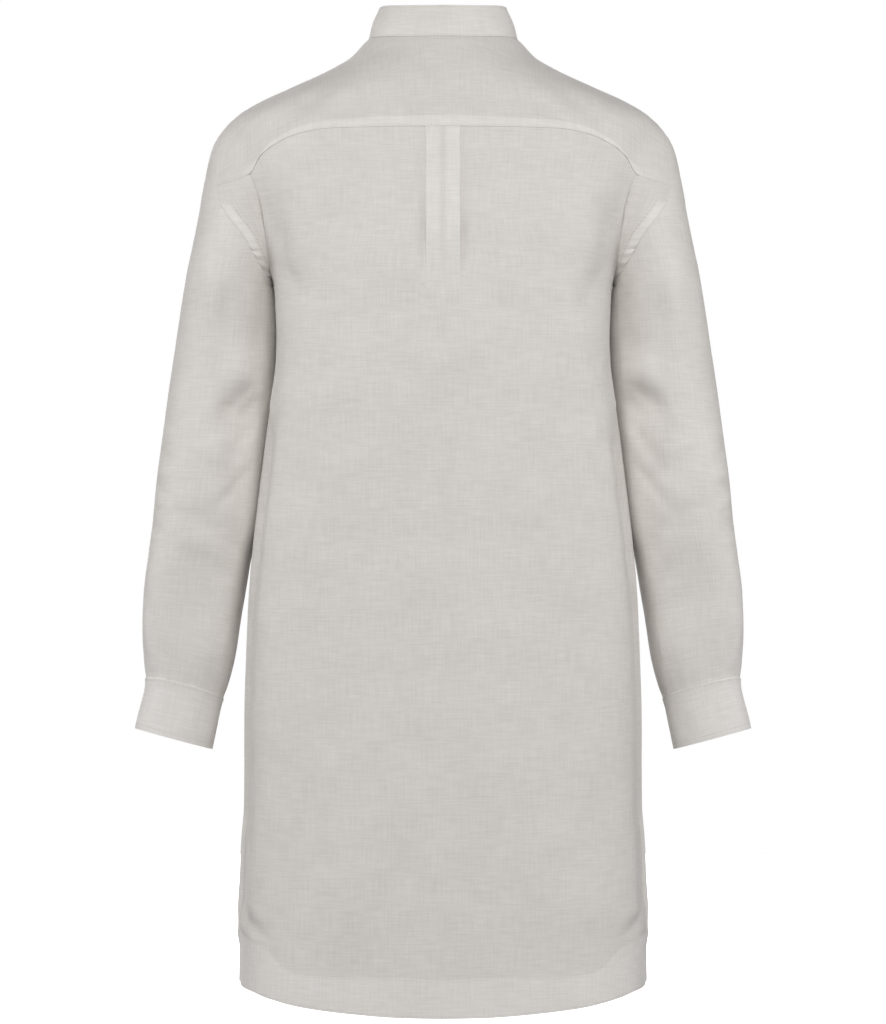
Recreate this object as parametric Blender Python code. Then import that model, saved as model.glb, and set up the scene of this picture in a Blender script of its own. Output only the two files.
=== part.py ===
"""A long linen shirt with a band collar, standing open and hollow as if worn.

The frame's origin is the middle of the neck base, where the shoulders carry the shirt.
+Z is up, the front faces -Y, the back faces +Y and the wearer's left is +X.

All cloth lies on one form: horizontal sections of a torso (a squared oval, its back and front
halves of their own depth) joined softly with sections of an arm (an oval). Every piece is a
grid of points on that form, given a wall inwards. Sizes are in millimetres until the last
step, which makes the meshes in metres.
"""

import math
from typing import NamedTuple

import bmesh
import bpy
import numpy as np
from mathutils import Vector

MM = 0.001

# Cloth and seams
CLOTH = 1.2           # wall of a single piece of cloth
BAND = 1.6            # wall of the collar band and the cuffs, which are two layers
SEAM_GAP = 0.3        # pieces keep this far apart at a seam
SLEEVE_CLEAR = 1.4    # the hanging sleeve stays this far off the side of the body

# Heights of the main places
SHOULDER_Z = -66.0    # top of the armhole, at the end of the shoulder
UNDERARM_Z = -212.0   # bottom of the armhole
PATCH_Z = -150.0      # below this height the panels follow level rows
SLIT_Z = -757.0       # the side slits open below this height

# Collar band
NECK_MIDDLE_Y = -6.0
NECK_HALF_WIDTH = 70.6
NECK_HALF_DEPTH = 66.0
COLLAR_HEIGHT = 29.6
COLLAR_SIDE_RISE = 2.4  # more height over the shoulders
COLLAR_TOP_HALF_WIDTH = 60.2
COLLAR_TOP_HALF_DEPTH = 57.5
COLLAR_TOP_MIDDLE_Y = -5.5
COLLAR_LAP = 13.0     # each end runs this far past the centre front

# Box pleat at the centre back
PLEAT_HALF_WIDTH = 15.5
PLEAT_RADIUS = 0.95   # of the middle of the wall round each fold
PLEAT_UNDERLAY = 11.5
PLEAT_TOP = 0.9       # height of the top layer's middle over the form
PLEAT_REACH = 26.0    # the panel lies on the form again this far from the centre
PLEAT_SOFT_END_Z = -400.0

# Button strip at the centre front
STRIP_HALF_WIDTH = 15.0
STRIP_UNDERLAP = 14.0

# Cuffs
CUFF_HEIGHT = 47.5
CUFF_LAP_ANGLE = 26.0
CUFF_LAP_AT = 215.0   # degrees round the arm: on the inner side, towards the front

# Buttons
BUTTON_RADIUS = 5.5
BUTTON_THICKNESS = 2.4
BUTTON_SIDES = 10
FRONT_BUTTONS = 9
FIRST_BUTTON_Z = -82.0
BUTTON_SPACING = 81.0


class TorsoRow(NamedTuple):
    """One level section of the body: where it is widest, and its back and front halves."""

    z: float
    half_width: float
    widest_y: float
    back_y: float
    front_y: float
    back_square: float    # 2 is an ellipse, more is squarer
    front_square: float
    seam_y: float         # where the side seam crosses this section


class ArmRow(NamedTuple):
    """One section of an arm. A tilted section rises outwards and backwards."""

    z: float
    outer: float
    inner: float
    middle_y: float
    half_depth: float
    rise_out: float
    rise_back: float


class EdgeRow(NamedTuple):
    """A place on an edge: its share of the way from the centre to the side, and its height."""

    share: float
    z: float


class ArmholeRow(NamedTuple):
    """A place on the armhole seam: its angle round the arm from the outside, and its height."""

    angle: float
    z: float


class Fold(NamedTuple):
    """A soft crease between two places of a body panel; a negative height makes a trough.

    A place is a share of the way from the centre to the side, and a height.
    """

    at: float
    z: float
    to_at: float
    to_z: float
    width: float
    height: float
    bow: float


class BlendRow(NamedTuple):
    """How softly torso and arm run into each other at a height."""

    z: float
    radius: float


TORSO = (
    TorsoRow(34, 50.0, 0, 44.0, -40.0, 1.9, 2.2, 0),
    TorsoRow(22, 66.0, 0, 54.0, -46.0, 1.9, 2.2, 0),
    TorsoRow(18, 70.8, 0, 57.5, -48.0, 1.9, 2.2, 0),
    TorsoRow(13, 76.0, 0, 61.5, -50.0, 1.92, 2.2, 0),
    TorsoRow(6, 82.1, 0, 65.2, -52.5, 1.97, 2.2, 0),
    TorsoRow(0, 88.2, 1, 68.5, -54.5, 2.05, 2.2, 0),
    TorsoRow(-7, 99.7, 1, 72.0, -57.0, 2.12, 2.2, 0),
    TorsoRow(-14, 112.9, 1, 75.5, -59.5, 2.17, 2.2, 0),
    TorsoRow(-28, 143.3, 2, 82.0, -65.0, 2.2, 2.2, 0),
    TorsoRow(-42, 174.0, 2, 87.5, -71.5, 2.2, 2.2, 0),
    TorsoRow(-56, 196.0, 2, 92.5, -78.5, 2.25, 2.2, 0),
    TorsoRow(-66, 203.5, 2, 95.5, -84.0, 2.3, 2.2, 0),
    TorsoRow(-85, 198.0, 1, 100.5, -94.0, 2.4, 2.25, 0),
    TorsoRow(-99, 194.0, 0, 104.0, -101.0, 2.5, 2.3, 0),
    TorsoRow(-114, 188.0, 0, 107.5, -108.0, 2.6, 2.3, 0),
    TorsoRow(-141, 175.8, -2, 113.0, -118.0, 2.75, 2.3, -2),
    TorsoRow(-170, 166.5, -3, 117.0, -126.0, 2.9, 2.3, -3),
    TorsoRow(-197, 160.8, -4.5, 119.5, -131.5, 3.0, 2.3, -4.5),
    TorsoRow(-212, 158.6, -5, 120.5, -133.5, 3.0, 2.3, -5),
    TorsoRow(-225, 157.4, 0, 121.0, -135.0, 3.0, 2.3, -5),
    TorsoRow(-245, 156.4, 10, 121.5, -136.0, 3.0, 2.3, -4),
    TorsoRow(-265, 155.9, 17, 122.0, -136.5, 3.0, 2.3, -2),
    TorsoRow(-285, 156.3, 20, 122.5, -136.5, 3.0, 2.3, 0),
    TorsoRow(-310, 158.8, 21, 122.5, -136.0, 3.0, 2.3, 0),
    TorsoRow(-348, 164.5, 22, 121.5, -135.0, 2.95, 2.3, 0),
    TorsoRow(-395, 170.5, 21, 121.0, -134.5, 2.9, 2.3, 0),
    TorsoRow(-451, 177.3, 18, 121.5, -134.5, 2.85, 2.3, 0),
    TorsoRow(-507, 182.3, 12, 122.0, -135.0, 2.75, 2.3, -1),
    TorsoRow(-560, 184.8, 6, 123.0, -136.0, 2.7, 2.35, -3),
    TorsoRow(-610, 186.6, 2, 124.0, -137.0, 2.65, 2.4, -5),
    TorsoRow(-700, 187.3, -4, 126.0, -139.0, 2.6, 2.4, -8),
    TorsoRow(-730, 189.7, -5, 126.8, -139.5, 2.6, 2.4, -9),
    TorsoRow(-760, 191.2, -6, 127.5, -140.0, 2.6, 2.4, -10),
    TorsoRow(-790, 191.6, -6, 128.4, -141.0, 2.6, 2.4, -10),
    TorsoRow(-812, 190.0, -7, 129.0, -141.5, 2.6, 2.4, -10),
    TorsoRow(-830, 189.6, -7, 129.5, -142.0, 2.6, 2.4, -10),
    TorsoRow(-895, 190.8, -8, 131.0, -143.0, 2.6, 2.4, -10),
)

ARM = (
    ArmRow(34, 20.0, 16.0, 0, 1.0, 0, 0),
    ArmRow(0, 62.0, 50.0, 0, 3.0, 0, 0),
    ArmRow(-20, 112.0, 86.0, 1, 8.0, 0, 0),
    ArmRow(-45, 160.0, 108.0, 2, 21.0, 0, 0),
    ArmRow(-56, 187.0, 116.0, 2, 31.0, 0, 0),
    ArmRow(-66, 205.0, 121.0, 2, 38.0, 0, 0),
    ArmRow(-72, 210.5, 124.0, 1.5, 41.5, 0, 0),
    ArmRow(-85, 217.1, 127.0, 1, 46.5, 0, 0),
    ArmRow(-99, 220.9, 129.5, 0, 50.5, 0, 0),
    ArmRow(-113, 223.7, 132.5, -1, 53.5, 0, 0),
    ArmRow(-127, 226.6, 136.0, -2, 55.5, 0, 0),
    ArmRow(-141, 228.7, 140.0, -2.5, 57.0, 0, 0),
    ArmRow(-155, 231.4, 144.5, -3, 58.0, 0, 0),
    ArmRow(-170, 234.5, 149.0, -3.5, 58.7, 0, 0),
    ArmRow(-183, 237.3, 152.8, -4, 59.2, 0, 0),
    ArmRow(-197, 240.4, 156.4, -4.5, 59.5, 0, 0),
    ArmRow(-212, 243.0, 158.8, -5, 59.8, 0, 0),
    ArmRow(-225, 245.3, 158.0, -7, 60.0, 0, 0),
    ArmRow(-245, 248.7, 156.8, -11, 59.5, 0, 0),
    ArmRow(-267, 252.2, 156.4, -15, 59.0, 0, 0),
    ArmRow(-310, 259.0, 158.0, -19, 57.5, 0, 0),
    ArmRow(-352, 264.7, 162.5, -20, 56.0, 0, 0),
    ArmRow(-395, 270.4, 168.5, -21, 54.5, 0, 0),
    ArmRow(-437, 274.4, 175.0, -23, 53.0, 0.01, 0.01),
    ArmRow(-466, 278.4, 183.0, -26, 50.5, 0.03, 0.03),
    ArmRow(-508, 283.7, 190.3, -33, 46.0, 0.09, 0.07),
    ArmRow(-551, 285.3, 197.0, -41, 42.0, 0.17, 0.12),
    ArmRow(-580, 284.0, 204.8, -47.5, 38.8, 0.23, 0.155),
    ArmRow(-594, 282.5, 210.1, -51, 37.0, 0.25, 0.17),
    ArmRow(-641.5, 293.6, 220.9, -60.5, 37.5, 0.27, 0.06),
)

ARMHOLE_BACK = (
    ArmholeRow(0, -66),
    ArmholeRow(22, -72),
    ArmholeRow(35, -91),
    ArmholeRow(42, -107),
    ArmholeRow(54, -134),
    ArmholeRow(67, -146),
    ArmholeRow(94, -166),
    ArmholeRow(127, -192),
    ArmholeRow(147, -204),
    ArmholeRow(180, -212),
)

ARMHOLE_FRONT = (
    ArmholeRow(0, -66),
    ArmholeRow(20, -71),
    ArmholeRow(34, -88),
    ArmholeRow(45, -106),
    ArmholeRow(59, -133),
    ArmholeRow(73, -148),
    ArmholeRow(100, -169),
    ArmholeRow(131, -194),
    ArmholeRow(150, -205),
    ArmholeRow(180, -212),
)

YOKE_SEAM = (
    EdgeRow(0.00, -72.0),
    EdgeRow(0.45, -73.2),
    EdgeRow(0.585, -77.9),
    EdgeRow(0.69, -87.0),
    EdgeRow(0.765, -95.8),
    EdgeRow(0.86, -112.0),
    EdgeRow(1.00, -122.0),
)

HEM_BAND_TOP = (
    EdgeRow(0.00, -849.8),
    EdgeRow(0.20, -846.3),
    EdgeRow(0.46, -846.8),
    EdgeRow(0.50, -845.9),
    EdgeRow(0.55, -841.3),
    EdgeRow(0.60, -831.6),
    EdgeRow(0.64, -825.0),
    EdgeRow(0.71, -821.2),
    EdgeRow(0.80, -818.6),
    EdgeRow(1.00, -817.8),
)

HEM = (
    EdgeRow(0.00, -883.9),
    EdgeRow(0.14, -883.1),
    EdgeRow(0.31, -880.3),
    EdgeRow(0.49, -876.1),
    EdgeRow(0.62, -871.2),
    EdgeRow(0.74, -867.0),
    EdgeRow(1.00, -865.8),
)

BLEND = (
    BlendRow(-20, 1.5),
    BlendRow(-66, 1.5),
    BlendRow(-85, 3.0),
    BlendRow(-114, 5.0),
    BlendRow(-150, 4.5),
    BlendRow(-190, 2.2),
    BlendRow(-208, 1.0),
    BlendRow(-212, 0.7),
)

BACK_FOLDS = (
    Fold(0.80, -122, 0.44, -268, 17, -2.2, 9),
    Fold(0.66, -112, 0.38, -330, 20, 1.4, 8),
    Fold(0.88, -232, 0.64, -352, 15, -1.8, 6),
    Fold(0.00, -262, 0.00, -640, 17, -1.5, 0),
    Fold(0.42, -420, 0.45, -812, 23, -1.7, 5),
    Fold(0.64, -470, 0.68, -800, 21, 1.5, -5),
    Fold(0.24, -560, 0.27, -828, 18, 1.2, -3),
)

FRONT_FOLDS = (
    Fold(0.80, -126, 0.46, -252, 17, -2.2, 8),
    Fold(0.64, -112, 0.34, -280, 19, 1.4, 8),
    Fold(0.88, -232, 0.62, -340, 15, -1.8, 6),
    Fold(0.30, -100, 0.31, -330, 17, -1.4, -8),
    Fold(0.42, -340, 0.40, -660, 21, -1.5, 5),
    Fold(0.62, -440, 0.67, -790, 20, 1.4, 4),
)

FOLD_REACH = 225.0          # millimetres of cloth from the centre to the side, for the folds' shape
FOLDS_END_Z = -842.0        # the body's folds have run out above the hem band

# Shares of the way from the centre to the side where the panels have columns
CREASE_SHARE = 0.86
PANEL_SHARES = (0.19, 0.28, 0.37, 0.46, 0.52, 0.58, 0.64, 0.71, 0.77, 0.82, CREASE_SHARE, 0.90, 0.95, 1.0)
FRONT_SHARES = (0.20, 0.30, 0.40, 0.50, 0.60, 0.69, 0.77, CREASE_SHARE, 0.93, 1.0)
FRONT_NECK_COLUMNS = 3      # of the shares above, these end on the neck; the rest on the yoke
LEVEL_ROWS = (-165, -180, -195, -206, UNDERARM_Z, -228, -250, -280, -320, -370, -425, -480,
              -540, -610, -680, SLIT_Z, -795)
SLEEVE_RINGS = (-235, -262, -300, -345, -382, -408, -432, -455, -480, -508, -540, -572, -594)

# Rows and columns of the grids that meet at seams
BACK_TOP_ROWS = 4
FRONT_TOP_ROWS = 5
YOKE_ROWS = 7
YOKE_LOOP_BACK = 5
YOKE_LOOP_FRONT = 4
STRIP_PLACES = (-1.0, -0.5, 0.0, 0.5, 1.0)

# Colours of the finishes, in sRGB
LINEN = (0.80, 0.785, 0.77)
LINEN_DOUBLE = (0.83, 0.815, 0.80)
BUTTON_SHELL = (0.86, 0.84, 0.80)


def clear_scene():
    """Remove every object, so that the script starts from nothing."""
    for item in list(bpy.data.objects):
        bpy.data.objects.remove(item, do_unlink=True)


class Column:
    """A smooth curve through one column of a table, without overshoot between its rows."""

    def __init__(self, rows, key, value):
        pairs = sorted((getattr(row, key), getattr(row, value)) for row in rows)
        self.at = np.array([pair[0] for pair in pairs], float)
        self.value = np.array([pair[1] for pair in pairs], float)
        step = np.diff(self.at)
        rate = np.diff(self.value) / step
        slope = np.zeros_like(self.value)
        for i in range(1, len(rate)):
            if rate[i - 1] * rate[i] > 0:
                before = 2 * step[i] + step[i - 1]
                after = step[i] + 2 * step[i - 1]
                slope[i] = (before + after) / (before / rate[i - 1] + after / rate[i])
        slope[0] = rate[0]
        slope[-1] = rate[-1]
        self.slope = slope

    def __call__(self, at):
        at = np.clip(np.asarray(at, float), self.at[0], self.at[-1])
        i = np.clip(np.searchsorted(self.at, at) - 1, 0, len(self.at) - 2)
        width = self.at[i + 1] - self.at[i]
        t = (at - self.at[i]) / width
        start = self.value[i] * (1 + 2 * t) * (1 - t) ** 2
        end = self.value[i + 1] * t * t * (3 - 2 * t)
        bend = self.slope[i] * width * t * (1 - t) ** 2 - self.slope[i + 1] * width * t * t * (1 - t)
        return start + end + bend


def columns(rows, key):
    """Every column of a table but its key, as smooth curves."""
    names = [name for name in rows[0]._fields if name != key]
    return {name: Column(rows, key, name) for name in names}


def smooth_step(value):
    """0 below 0, 1 above 1, and a smooth ramp between."""
    value = np.clip(value, 0.0, 1.0)
    return value * value * (3 - 2 * value)


torso = columns(TORSO, "z")
arm = columns(ARM, "z")
blend_radius = Column(BLEND, "z", "radius")
armhole_z = {1: Column(ARMHOLE_BACK, "angle", "z"), -1: Column(ARMHOLE_FRONT, "angle", "z")}
yoke_seam_z = Column(YOKE_SEAM, "share", "z")
band_top_z = Column(HEM_BAND_TOP, "share", "z")
hem_z = Column(HEM, "share", "z")


# ---------------------------------------------------------------- the form

def torso_side_x(z, y):
    """Half width of the torso at a height and depth."""
    past = y - torso["widest_y"](z)
    back = torso["back_y"](z) - torso["widest_y"](z)
    front = torso["widest_y"](z) - torso["front_y"](z)
    depth = np.where(past > 0, back, front)
    power = np.where(past > 0, torso["back_square"](z), torso["front_square"](z))
    share = np.clip(np.abs(past) / depth, 0, 1)
    return torso["half_width"](z) * (1 - share ** power) ** (1 / power)


def hanging_inner_x(z):
    """Inner side of the sleeve below the armhole, kept just clear of the body's side."""
    z = np.asarray(z, float)
    inner = arm["inner"](z)
    outer = arm["outer"](z)
    reach = np.linspace(-42, 42, 43)
    y = arm["middle_y"](z)[..., None] + reach
    side = torso_side_x(np.broadcast_to(z[..., None], y.shape), y) + SLEEVE_CLEAR
    share = np.clip(reach / arm["half_depth"](z)[..., None], -0.95, 0.95)
    for _ in range(8):
        middle = (inner + outer) / 2
        half = (outer - inner) / 2
        wall = middle[..., None] - half[..., None] * np.sqrt(1 - share ** 2)
        inner = inner + np.maximum(0, (side - wall).max(axis=-1))
    return inner


def arm_section(z):
    """Middle and half sizes of the arm's section at a height."""
    z = np.asarray(z, float)
    outer = arm["outer"](z)
    inner = np.where(z < UNDERARM_Z, hanging_inner_x(np.minimum(z, UNDERARM_Z)), arm["inner"](z))
    return (outer + inner) / 2, arm["middle_y"](z), (outer - inner) / 2, arm["half_depth"](z)


def torso_gap(point):
    """About how far a point lies outside the torso."""
    x, y, z = np.abs(point[..., 0]), point[..., 1], point[..., 2]
    past = y - torso["widest_y"](z)
    back = torso["back_y"](z) - torso["widest_y"](z)
    front = torso["widest_y"](z) - torso["front_y"](z)
    depth = np.where(past > 0, back, front)
    power = np.where(past > 0, torso["back_square"](z), torso["front_square"](z))
    size = ((x / torso["half_width"](z)) ** power + (np.abs(past) / depth) ** power) ** (1 / power)
    return np.hypot(x, past) * (size - 1) / np.maximum(size, 1e-6)


def arm_gap(point):
    """About how far a point lies outside the arm."""
    x, y, z = np.abs(point[..., 0]), point[..., 1], point[..., 2]
    middle_x, middle_y, half_width, half_depth = arm_section(z)
    across = (x - middle_x) / half_width
    along = (y - middle_y) / half_depth
    size = np.hypot(across, along)
    return np.hypot(x - middle_x, y - middle_y) * (size - 1) / np.maximum(size, 1e-6)


def form_gap(point):
    """About how far a point lies outside torso and arm, joined softly."""
    radius = blend_radius(point[..., 2])
    body = torso_gap(point) / radius
    limb = arm_gap(point) / radius
    least = np.minimum(body, limb)
    return radius * (least - np.log(np.exp(least - body) + np.exp(least - limb)))


def slope_of(gap, point, step=0.05):
    """Gradient of a gap function."""
    parts = []
    for axis in range(3):
        shift = np.zeros(3)
        shift[axis] = step
        parts.append((gap(point + shift) - gap(point - shift)) / (2 * step))
    return np.stack(parts, axis=-1)


def settle(point, gap=form_gap, rounds=7):
    """Move points onto the form along its slope."""
    for _ in range(rounds):
        slope = slope_of(gap, point)
        size = np.maximum((slope ** 2).sum(axis=-1), 0.05)
        point = point - slope * (gap(point) / size)[..., None]
    return point


def outward(point, gap=form_gap):
    """Unit directions out of the form."""
    slope = slope_of(gap, point)
    return slope / np.maximum(np.linalg.norm(slope, axis=-1), 1e-9)[..., None]


# ---------------------------------------------------------------- the chart of the body panels

def armhole_angle(z, face):
    """Angle round the arm, in radians, at which the armhole seam crosses a height."""
    angles = np.linspace(0, 180, 721)
    heights = armhole_z[face](angles)
    return np.radians(np.interp(-np.asarray(z, float), -heights, angles))


def section_path(z, face, count=150, lap=70, limb=50):
    """Points of half the section at each height, from the centre line to the panel's side.

    The path runs round the torso. Above the underarm it goes on along the arm to the armhole
    seam. The front (face -1) is worked out as a back and turned round at the end.
    """
    z = np.asarray(z, float)
    widest = face * torso["widest_y"](z)
    near = (torso["back_y"](z) if face > 0 else -torso["front_y"](z)) - widest
    far = widest + (-torso["front_y"](z) if face > 0 else torso["back_y"](z))
    near_power = torso["back_square"](z) if face > 0 else torso["front_square"](z)
    far_power = torso["front_square"](z) if face > 0 else torso["back_square"](z)
    half = torso["half_width"](z)
    turn = np.linspace(0, math.pi / 2, count)
    x_near = half[:, None] * np.sin(turn) ** (2 / near_power[:, None])
    y_near = widest[:, None] + near[:, None] * np.abs(np.cos(turn)) ** (2 / near_power[:, None])
    x_near[:, -1] = half
    y_near[:, -1] = widest
    down = np.linspace(0, 70, lap + 1)[1:] / far[:, None]
    x_far = half[:, None] * (1 - down ** far_power[:, None]) ** (1 / far_power[:, None])
    y_far = widest[:, None] - down * far[:, None]
    x = np.concatenate([x_near, x_far], axis=1)
    y = np.concatenate([y_near, y_far], axis=1)
    middle_x, middle_y, half_width, half_depth = arm_section(z)
    middle_y = face * middle_y
    size = np.hypot((x - middle_x[:, None]) / half_width[:, None],
                    (y - middle_y[:, None]) / half_depth[:, None]) - 1
    inside = size < 0
    touching = inside.any(axis=1)
    first = np.where(touching, inside.argmax(axis=1), size.argmin(axis=1))
    rows = np.arange(len(z))
    before = np.maximum(first - 1, 0)
    fall = size[rows, before] - size[rows, first]
    part = np.where(touching & (fall > 1e-9), size[rows, before] / np.maximum(fall, 1e-9), 1.0)
    stop_arm = before + np.clip(part, 0, 1)
    passed = y < (face * torso["seam_y"](z))[:, None]
    cross = np.maximum(passed.argmax(axis=1), 1)
    drop = y[rows, cross - 1] - y[rows, cross]
    stop_seam = cross - 1 + (y[rows, cross - 1] - face * torso["seam_y"](z)) / np.maximum(drop, 1e-9)
    above = z >= SHOULDER_Z
    below = z <= UNDERARM_Z
    stop = np.where(above, count - 1.0, np.where(below, stop_seam, stop_arm))
    place = stop[:, None] * np.linspace(0, 1, count + lap)
    low = np.clip(place.astype(int), 0, x.shape[1] - 2)
    rest = place - low
    torso_x = np.take_along_axis(x, low, 1) * (1 - rest) + np.take_along_axis(x, low + 1, 1) * rest
    torso_y = np.take_along_axis(y, low, 1) * (1 - rest) + np.take_along_axis(y, low + 1, 1) * rest
    start = np.arctan2((torso_y[:, -1] - middle_y) / half_depth, (torso_x[:, -1] - middle_x) / half_width)
    start = np.where(start < 0, start + 2 * math.pi, start)
    finish = armhole_angle(np.clip(z, UNDERARM_Z, SHOULDER_Z), face)
    angle = start[:, None] + (finish - start)[:, None] * np.linspace(0, 1, limb + 1)[1:]
    arm_x = middle_x[:, None] + half_width[:, None] * np.cos(angle)
    arm_y = middle_y[:, None] + half_depth[:, None] * np.sin(angle)
    plain = (above | below)[:, None]
    arm_x = np.where(plain, torso_x[:, -1:], arm_x)
    arm_y = np.where(plain, torso_y[:, -1:], arm_y)
    path = np.stack([np.concatenate([torso_x, arm_x], 1), np.concatenate([torso_y, arm_y], 1)], -1)
    path[..., 1] *= face
    return path, count + lap - 1


def chart(z, share, along=0.0, face=1):
    """Points on a body panel: a height, a share of the way to the side, and millimetres more.

    Column CREASE_SHARE follows the crease between the panel and the sleeve.
    """
    z, share, along = np.broadcast_arrays(np.asarray(z, float), share, along)
    shape = z.shape
    z, share, along = z.ravel(), np.asarray(share, float).ravel(), np.asarray(along, float).ravel()
    path, crease = section_path(z, face)
    step = np.linalg.norm(np.diff(path, axis=1), axis=-1)
    length = np.concatenate([np.zeros((len(z), 1)), np.cumsum(step, axis=1)], axis=1)
    total = length[:, -1]
    follow = smooth_step((z + 210) / 16) * smooth_step((-76 - z) / 34)
    crease_at = length[:, crease] * follow + CREASE_SHARE * total * (1 - follow)
    size = np.abs(share)
    inner = size / CREASE_SHARE * crease_at
    outer = crease_at + (size - CREASE_SHARE) / (1 - CREASE_SHARE) * (total - crease_at)
    wanted = np.where(size < CREASE_SHARE, inner, outer)
    side = np.where(share < 0, -1.0, 1.0)
    wanted = side * wanted + along
    side = np.where(wanted < 0, -1.0, 1.0)
    wanted = np.clip(np.abs(wanted), 0, total)
    low = np.clip((length <= wanted[:, None]).sum(axis=1) - 1, 0, length.shape[1] - 2)
    rows = np.arange(len(z))
    width = np.maximum(length[rows, low + 1] - length[rows, low], 1e-9)
    rest = np.clip((wanted - length[rows, low]) / width, 0, 1)[:, None]
    flat = path[rows, low] * (1 - rest) + path[rows, low + 1] * rest
    point = np.column_stack([side * flat[:, 0], flat[:, 1], z])
    upper = z > UNDERARM_Z
    if upper.any():
        point[upper] = settle(point[upper], rounds=3)
    return point.reshape(shape + (3,))


def body_normal(point):
    """Outward directions on the body panels: torso and arm above the underarm, torso below."""
    joined = outward(point)
    plain = outward(point, torso_gap)
    return np.where((point[..., 2] > UNDERARM_Z)[..., None], joined, plain)


def slit_edge(point, share, face):
    """Open the side slits: the back edge stands out a little, the front edge lies inside it."""
    z = point[..., 2]
    opening = smooth_step((SLIT_Z - z) / 70)
    near_edge = smooth_step((np.abs(share) - 0.94) / 0.06)
    shift = np.zeros_like(point)
    side = np.sign(point[..., 0])
    if face > 0:
        band = smooth_step((-822 - z) / 12)
        shift[..., 0] = side * near_edge * opening * (3.6 - 1.8 * band)
        shift[..., 1] = near_edge * opening * 1.5
    else:
        shift[..., 0] = -side * near_edge * opening * 2.0
        shift[..., 1] = -near_edge * opening * 1.5
    return point + shift


# ---------------------------------------------------------------- folds

def relief(folds, at, z, scale):
    """Height of the folds over the plain form; scale turns the folds' places to millimetres."""
    total = np.zeros(np.broadcast(at, z).shape)
    for fold in folds:
        start = np.array([fold.at * scale, fold.z])
        way = np.array([fold.to_at * scale, fold.to_z]) - start
        length = float(np.hypot(*way))
        along = ((at * scale - start[0]) * way[0] + (z - start[1]) * way[1]) / length ** 2
        across = ((at * scale - start[0]) * -way[1] + (z - start[1]) * way[0]) / length
        inside = np.clip(along, 0, 1)
        off = (across - fold.bow * 4 * inside * (1 - inside)) / fold.width
        ends = smooth_step(along / 0.32) * smooth_step((1 - along) / 0.38)
        wave = np.exp(-off ** 2) - 0.38 * np.exp(-(off - 1.9) ** 2) - 0.22 * np.exp(-(off + 2.1) ** 2)
        total += fold.height * ends * wave
    return total


def body_relief(share, along, z, face):
    """Height of a body panel's folds, which leave its seams, strip and lower band flat."""
    place = share + along / FOLD_REACH
    folds = BACK_FOLDS if face > 0 else FRONT_FOLDS
    flat_side = smooth_step((0.95 - share) / 0.10)
    flat_foot = smooth_step((z - FOLDS_END_Z) / 26)
    height = relief(folds, place, z, FOLD_REACH) * flat_side * flat_foot
    if face < 0:
        height = height * smooth_step((place - 0.13) / 0.12)
    return height


# ---------------------------------------------------------------- walls

def wall_mesh(name, outer, inner, closed=False):
    """A closed wall between two grids of points, rows by columns, in millimetres."""
    rows, cols = outer.shape[:2]
    points = np.concatenate([outer.reshape(-1, 3), inner.reshape(-1, 3)])
    keys = {}
    index = []
    kept = []
    for point in points:
        key = tuple(np.round(point, 3))
        if key not in keys:
            keys[key] = len(kept)
            kept.append(point)
        index.append(keys[key])
    half = rows * cols

    def at(row, col, side):
        return index[row * cols + col % cols + side * half]

    faces = []

    def quad(a, b, c, d, other=False):
        halves = ((b, c, d), (b, d, a)) if other else ((a, b, c), (a, c, d))
        for face in halves:
            if len(set(face)) == 3:
                faces.append(face)

    spans = cols if closed else cols - 1
    for row in range(rows - 1):
        for col in range(spans):
            after = (col + 1) % cols
            falling = np.linalg.norm(outer[row, col] - outer[row + 1, after])
            rising = np.linalg.norm(outer[row + 1, col] - outer[row, after])
            other = rising < falling * 0.999
            quad(at(row, col, 0), at(row + 1, col, 0), at(row + 1, col + 1, 0), at(row, col + 1, 0), other)
            quad(at(row, col, 1), at(row, col + 1, 1), at(row + 1, col + 1, 1), at(row + 1, col, 1), other)
    for col in range(spans):
        quad(at(0, col, 0), at(0, col + 1, 0), at(0, col + 1, 1), at(0, col, 1))
        quad(at(rows - 1, col, 0), at(rows - 1, col, 1), at(rows - 1, col + 1, 1), at(rows - 1, col + 1, 0))
    if not closed:
        for row in range(rows - 1):
            quad(at(row, 0, 0), at(row, 0, 1), at(row + 1, 0, 1), at(row + 1, 0, 0))
            quad(at(row, cols - 1, 0), at(row + 1, cols - 1, 0), at(row + 1, cols - 1, 1), at(row, cols - 1, 1))
    kept = np.array(kept) * MM
    corners = kept[np.array(faces)]
    volume = np.einsum("ij,ij->i", corners[:, 0], np.cross(corners[:, 1], corners[:, 2])).sum()
    if volume < 0:
        faces = [face[::-1] for face in faces]
    mesh = bpy.data.meshes.new(name)
    mesh.from_pydata([tuple(point) for point in kept], [], faces)
    mesh.validate()
    mesh.update()
    return mesh


def cloth_wall(name, point, normal, thickness=CLOTH, closed=False):
    """A wall of even thickness inside a grid of points on the form."""
    return wall_mesh(name, point, point - normal * thickness, closed)


def mirrored(points):
    """The same points on the other side of the body."""
    return points * np.array([-1.0, 1.0, 1.0])


# ---------------------------------------------------------------- neckline and yoke

def neck_point(angle):
    """A point on the neck seam: angle in degrees from the centre back towards the left side."""
    angle = np.radians(np.asarray(angle, float))
    x = NECK_HALF_WIDTH * np.sin(angle)
    y = NECK_MIDDLE_Y + NECK_HALF_DEPTH * np.cos(angle)
    low = np.full(x.shape, -110.0)
    high = np.full(x.shape, 33.0)
    for _ in range(40):
        middle = (low + high) / 2
        gap = form_gap(np.stack([x, y, middle], axis=-1))
        low = np.where(gap > 0, low, middle)
        high = np.where(gap > 0, middle, high)
    return np.stack([x, y, (low + high) / 2], axis=-1)


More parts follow.
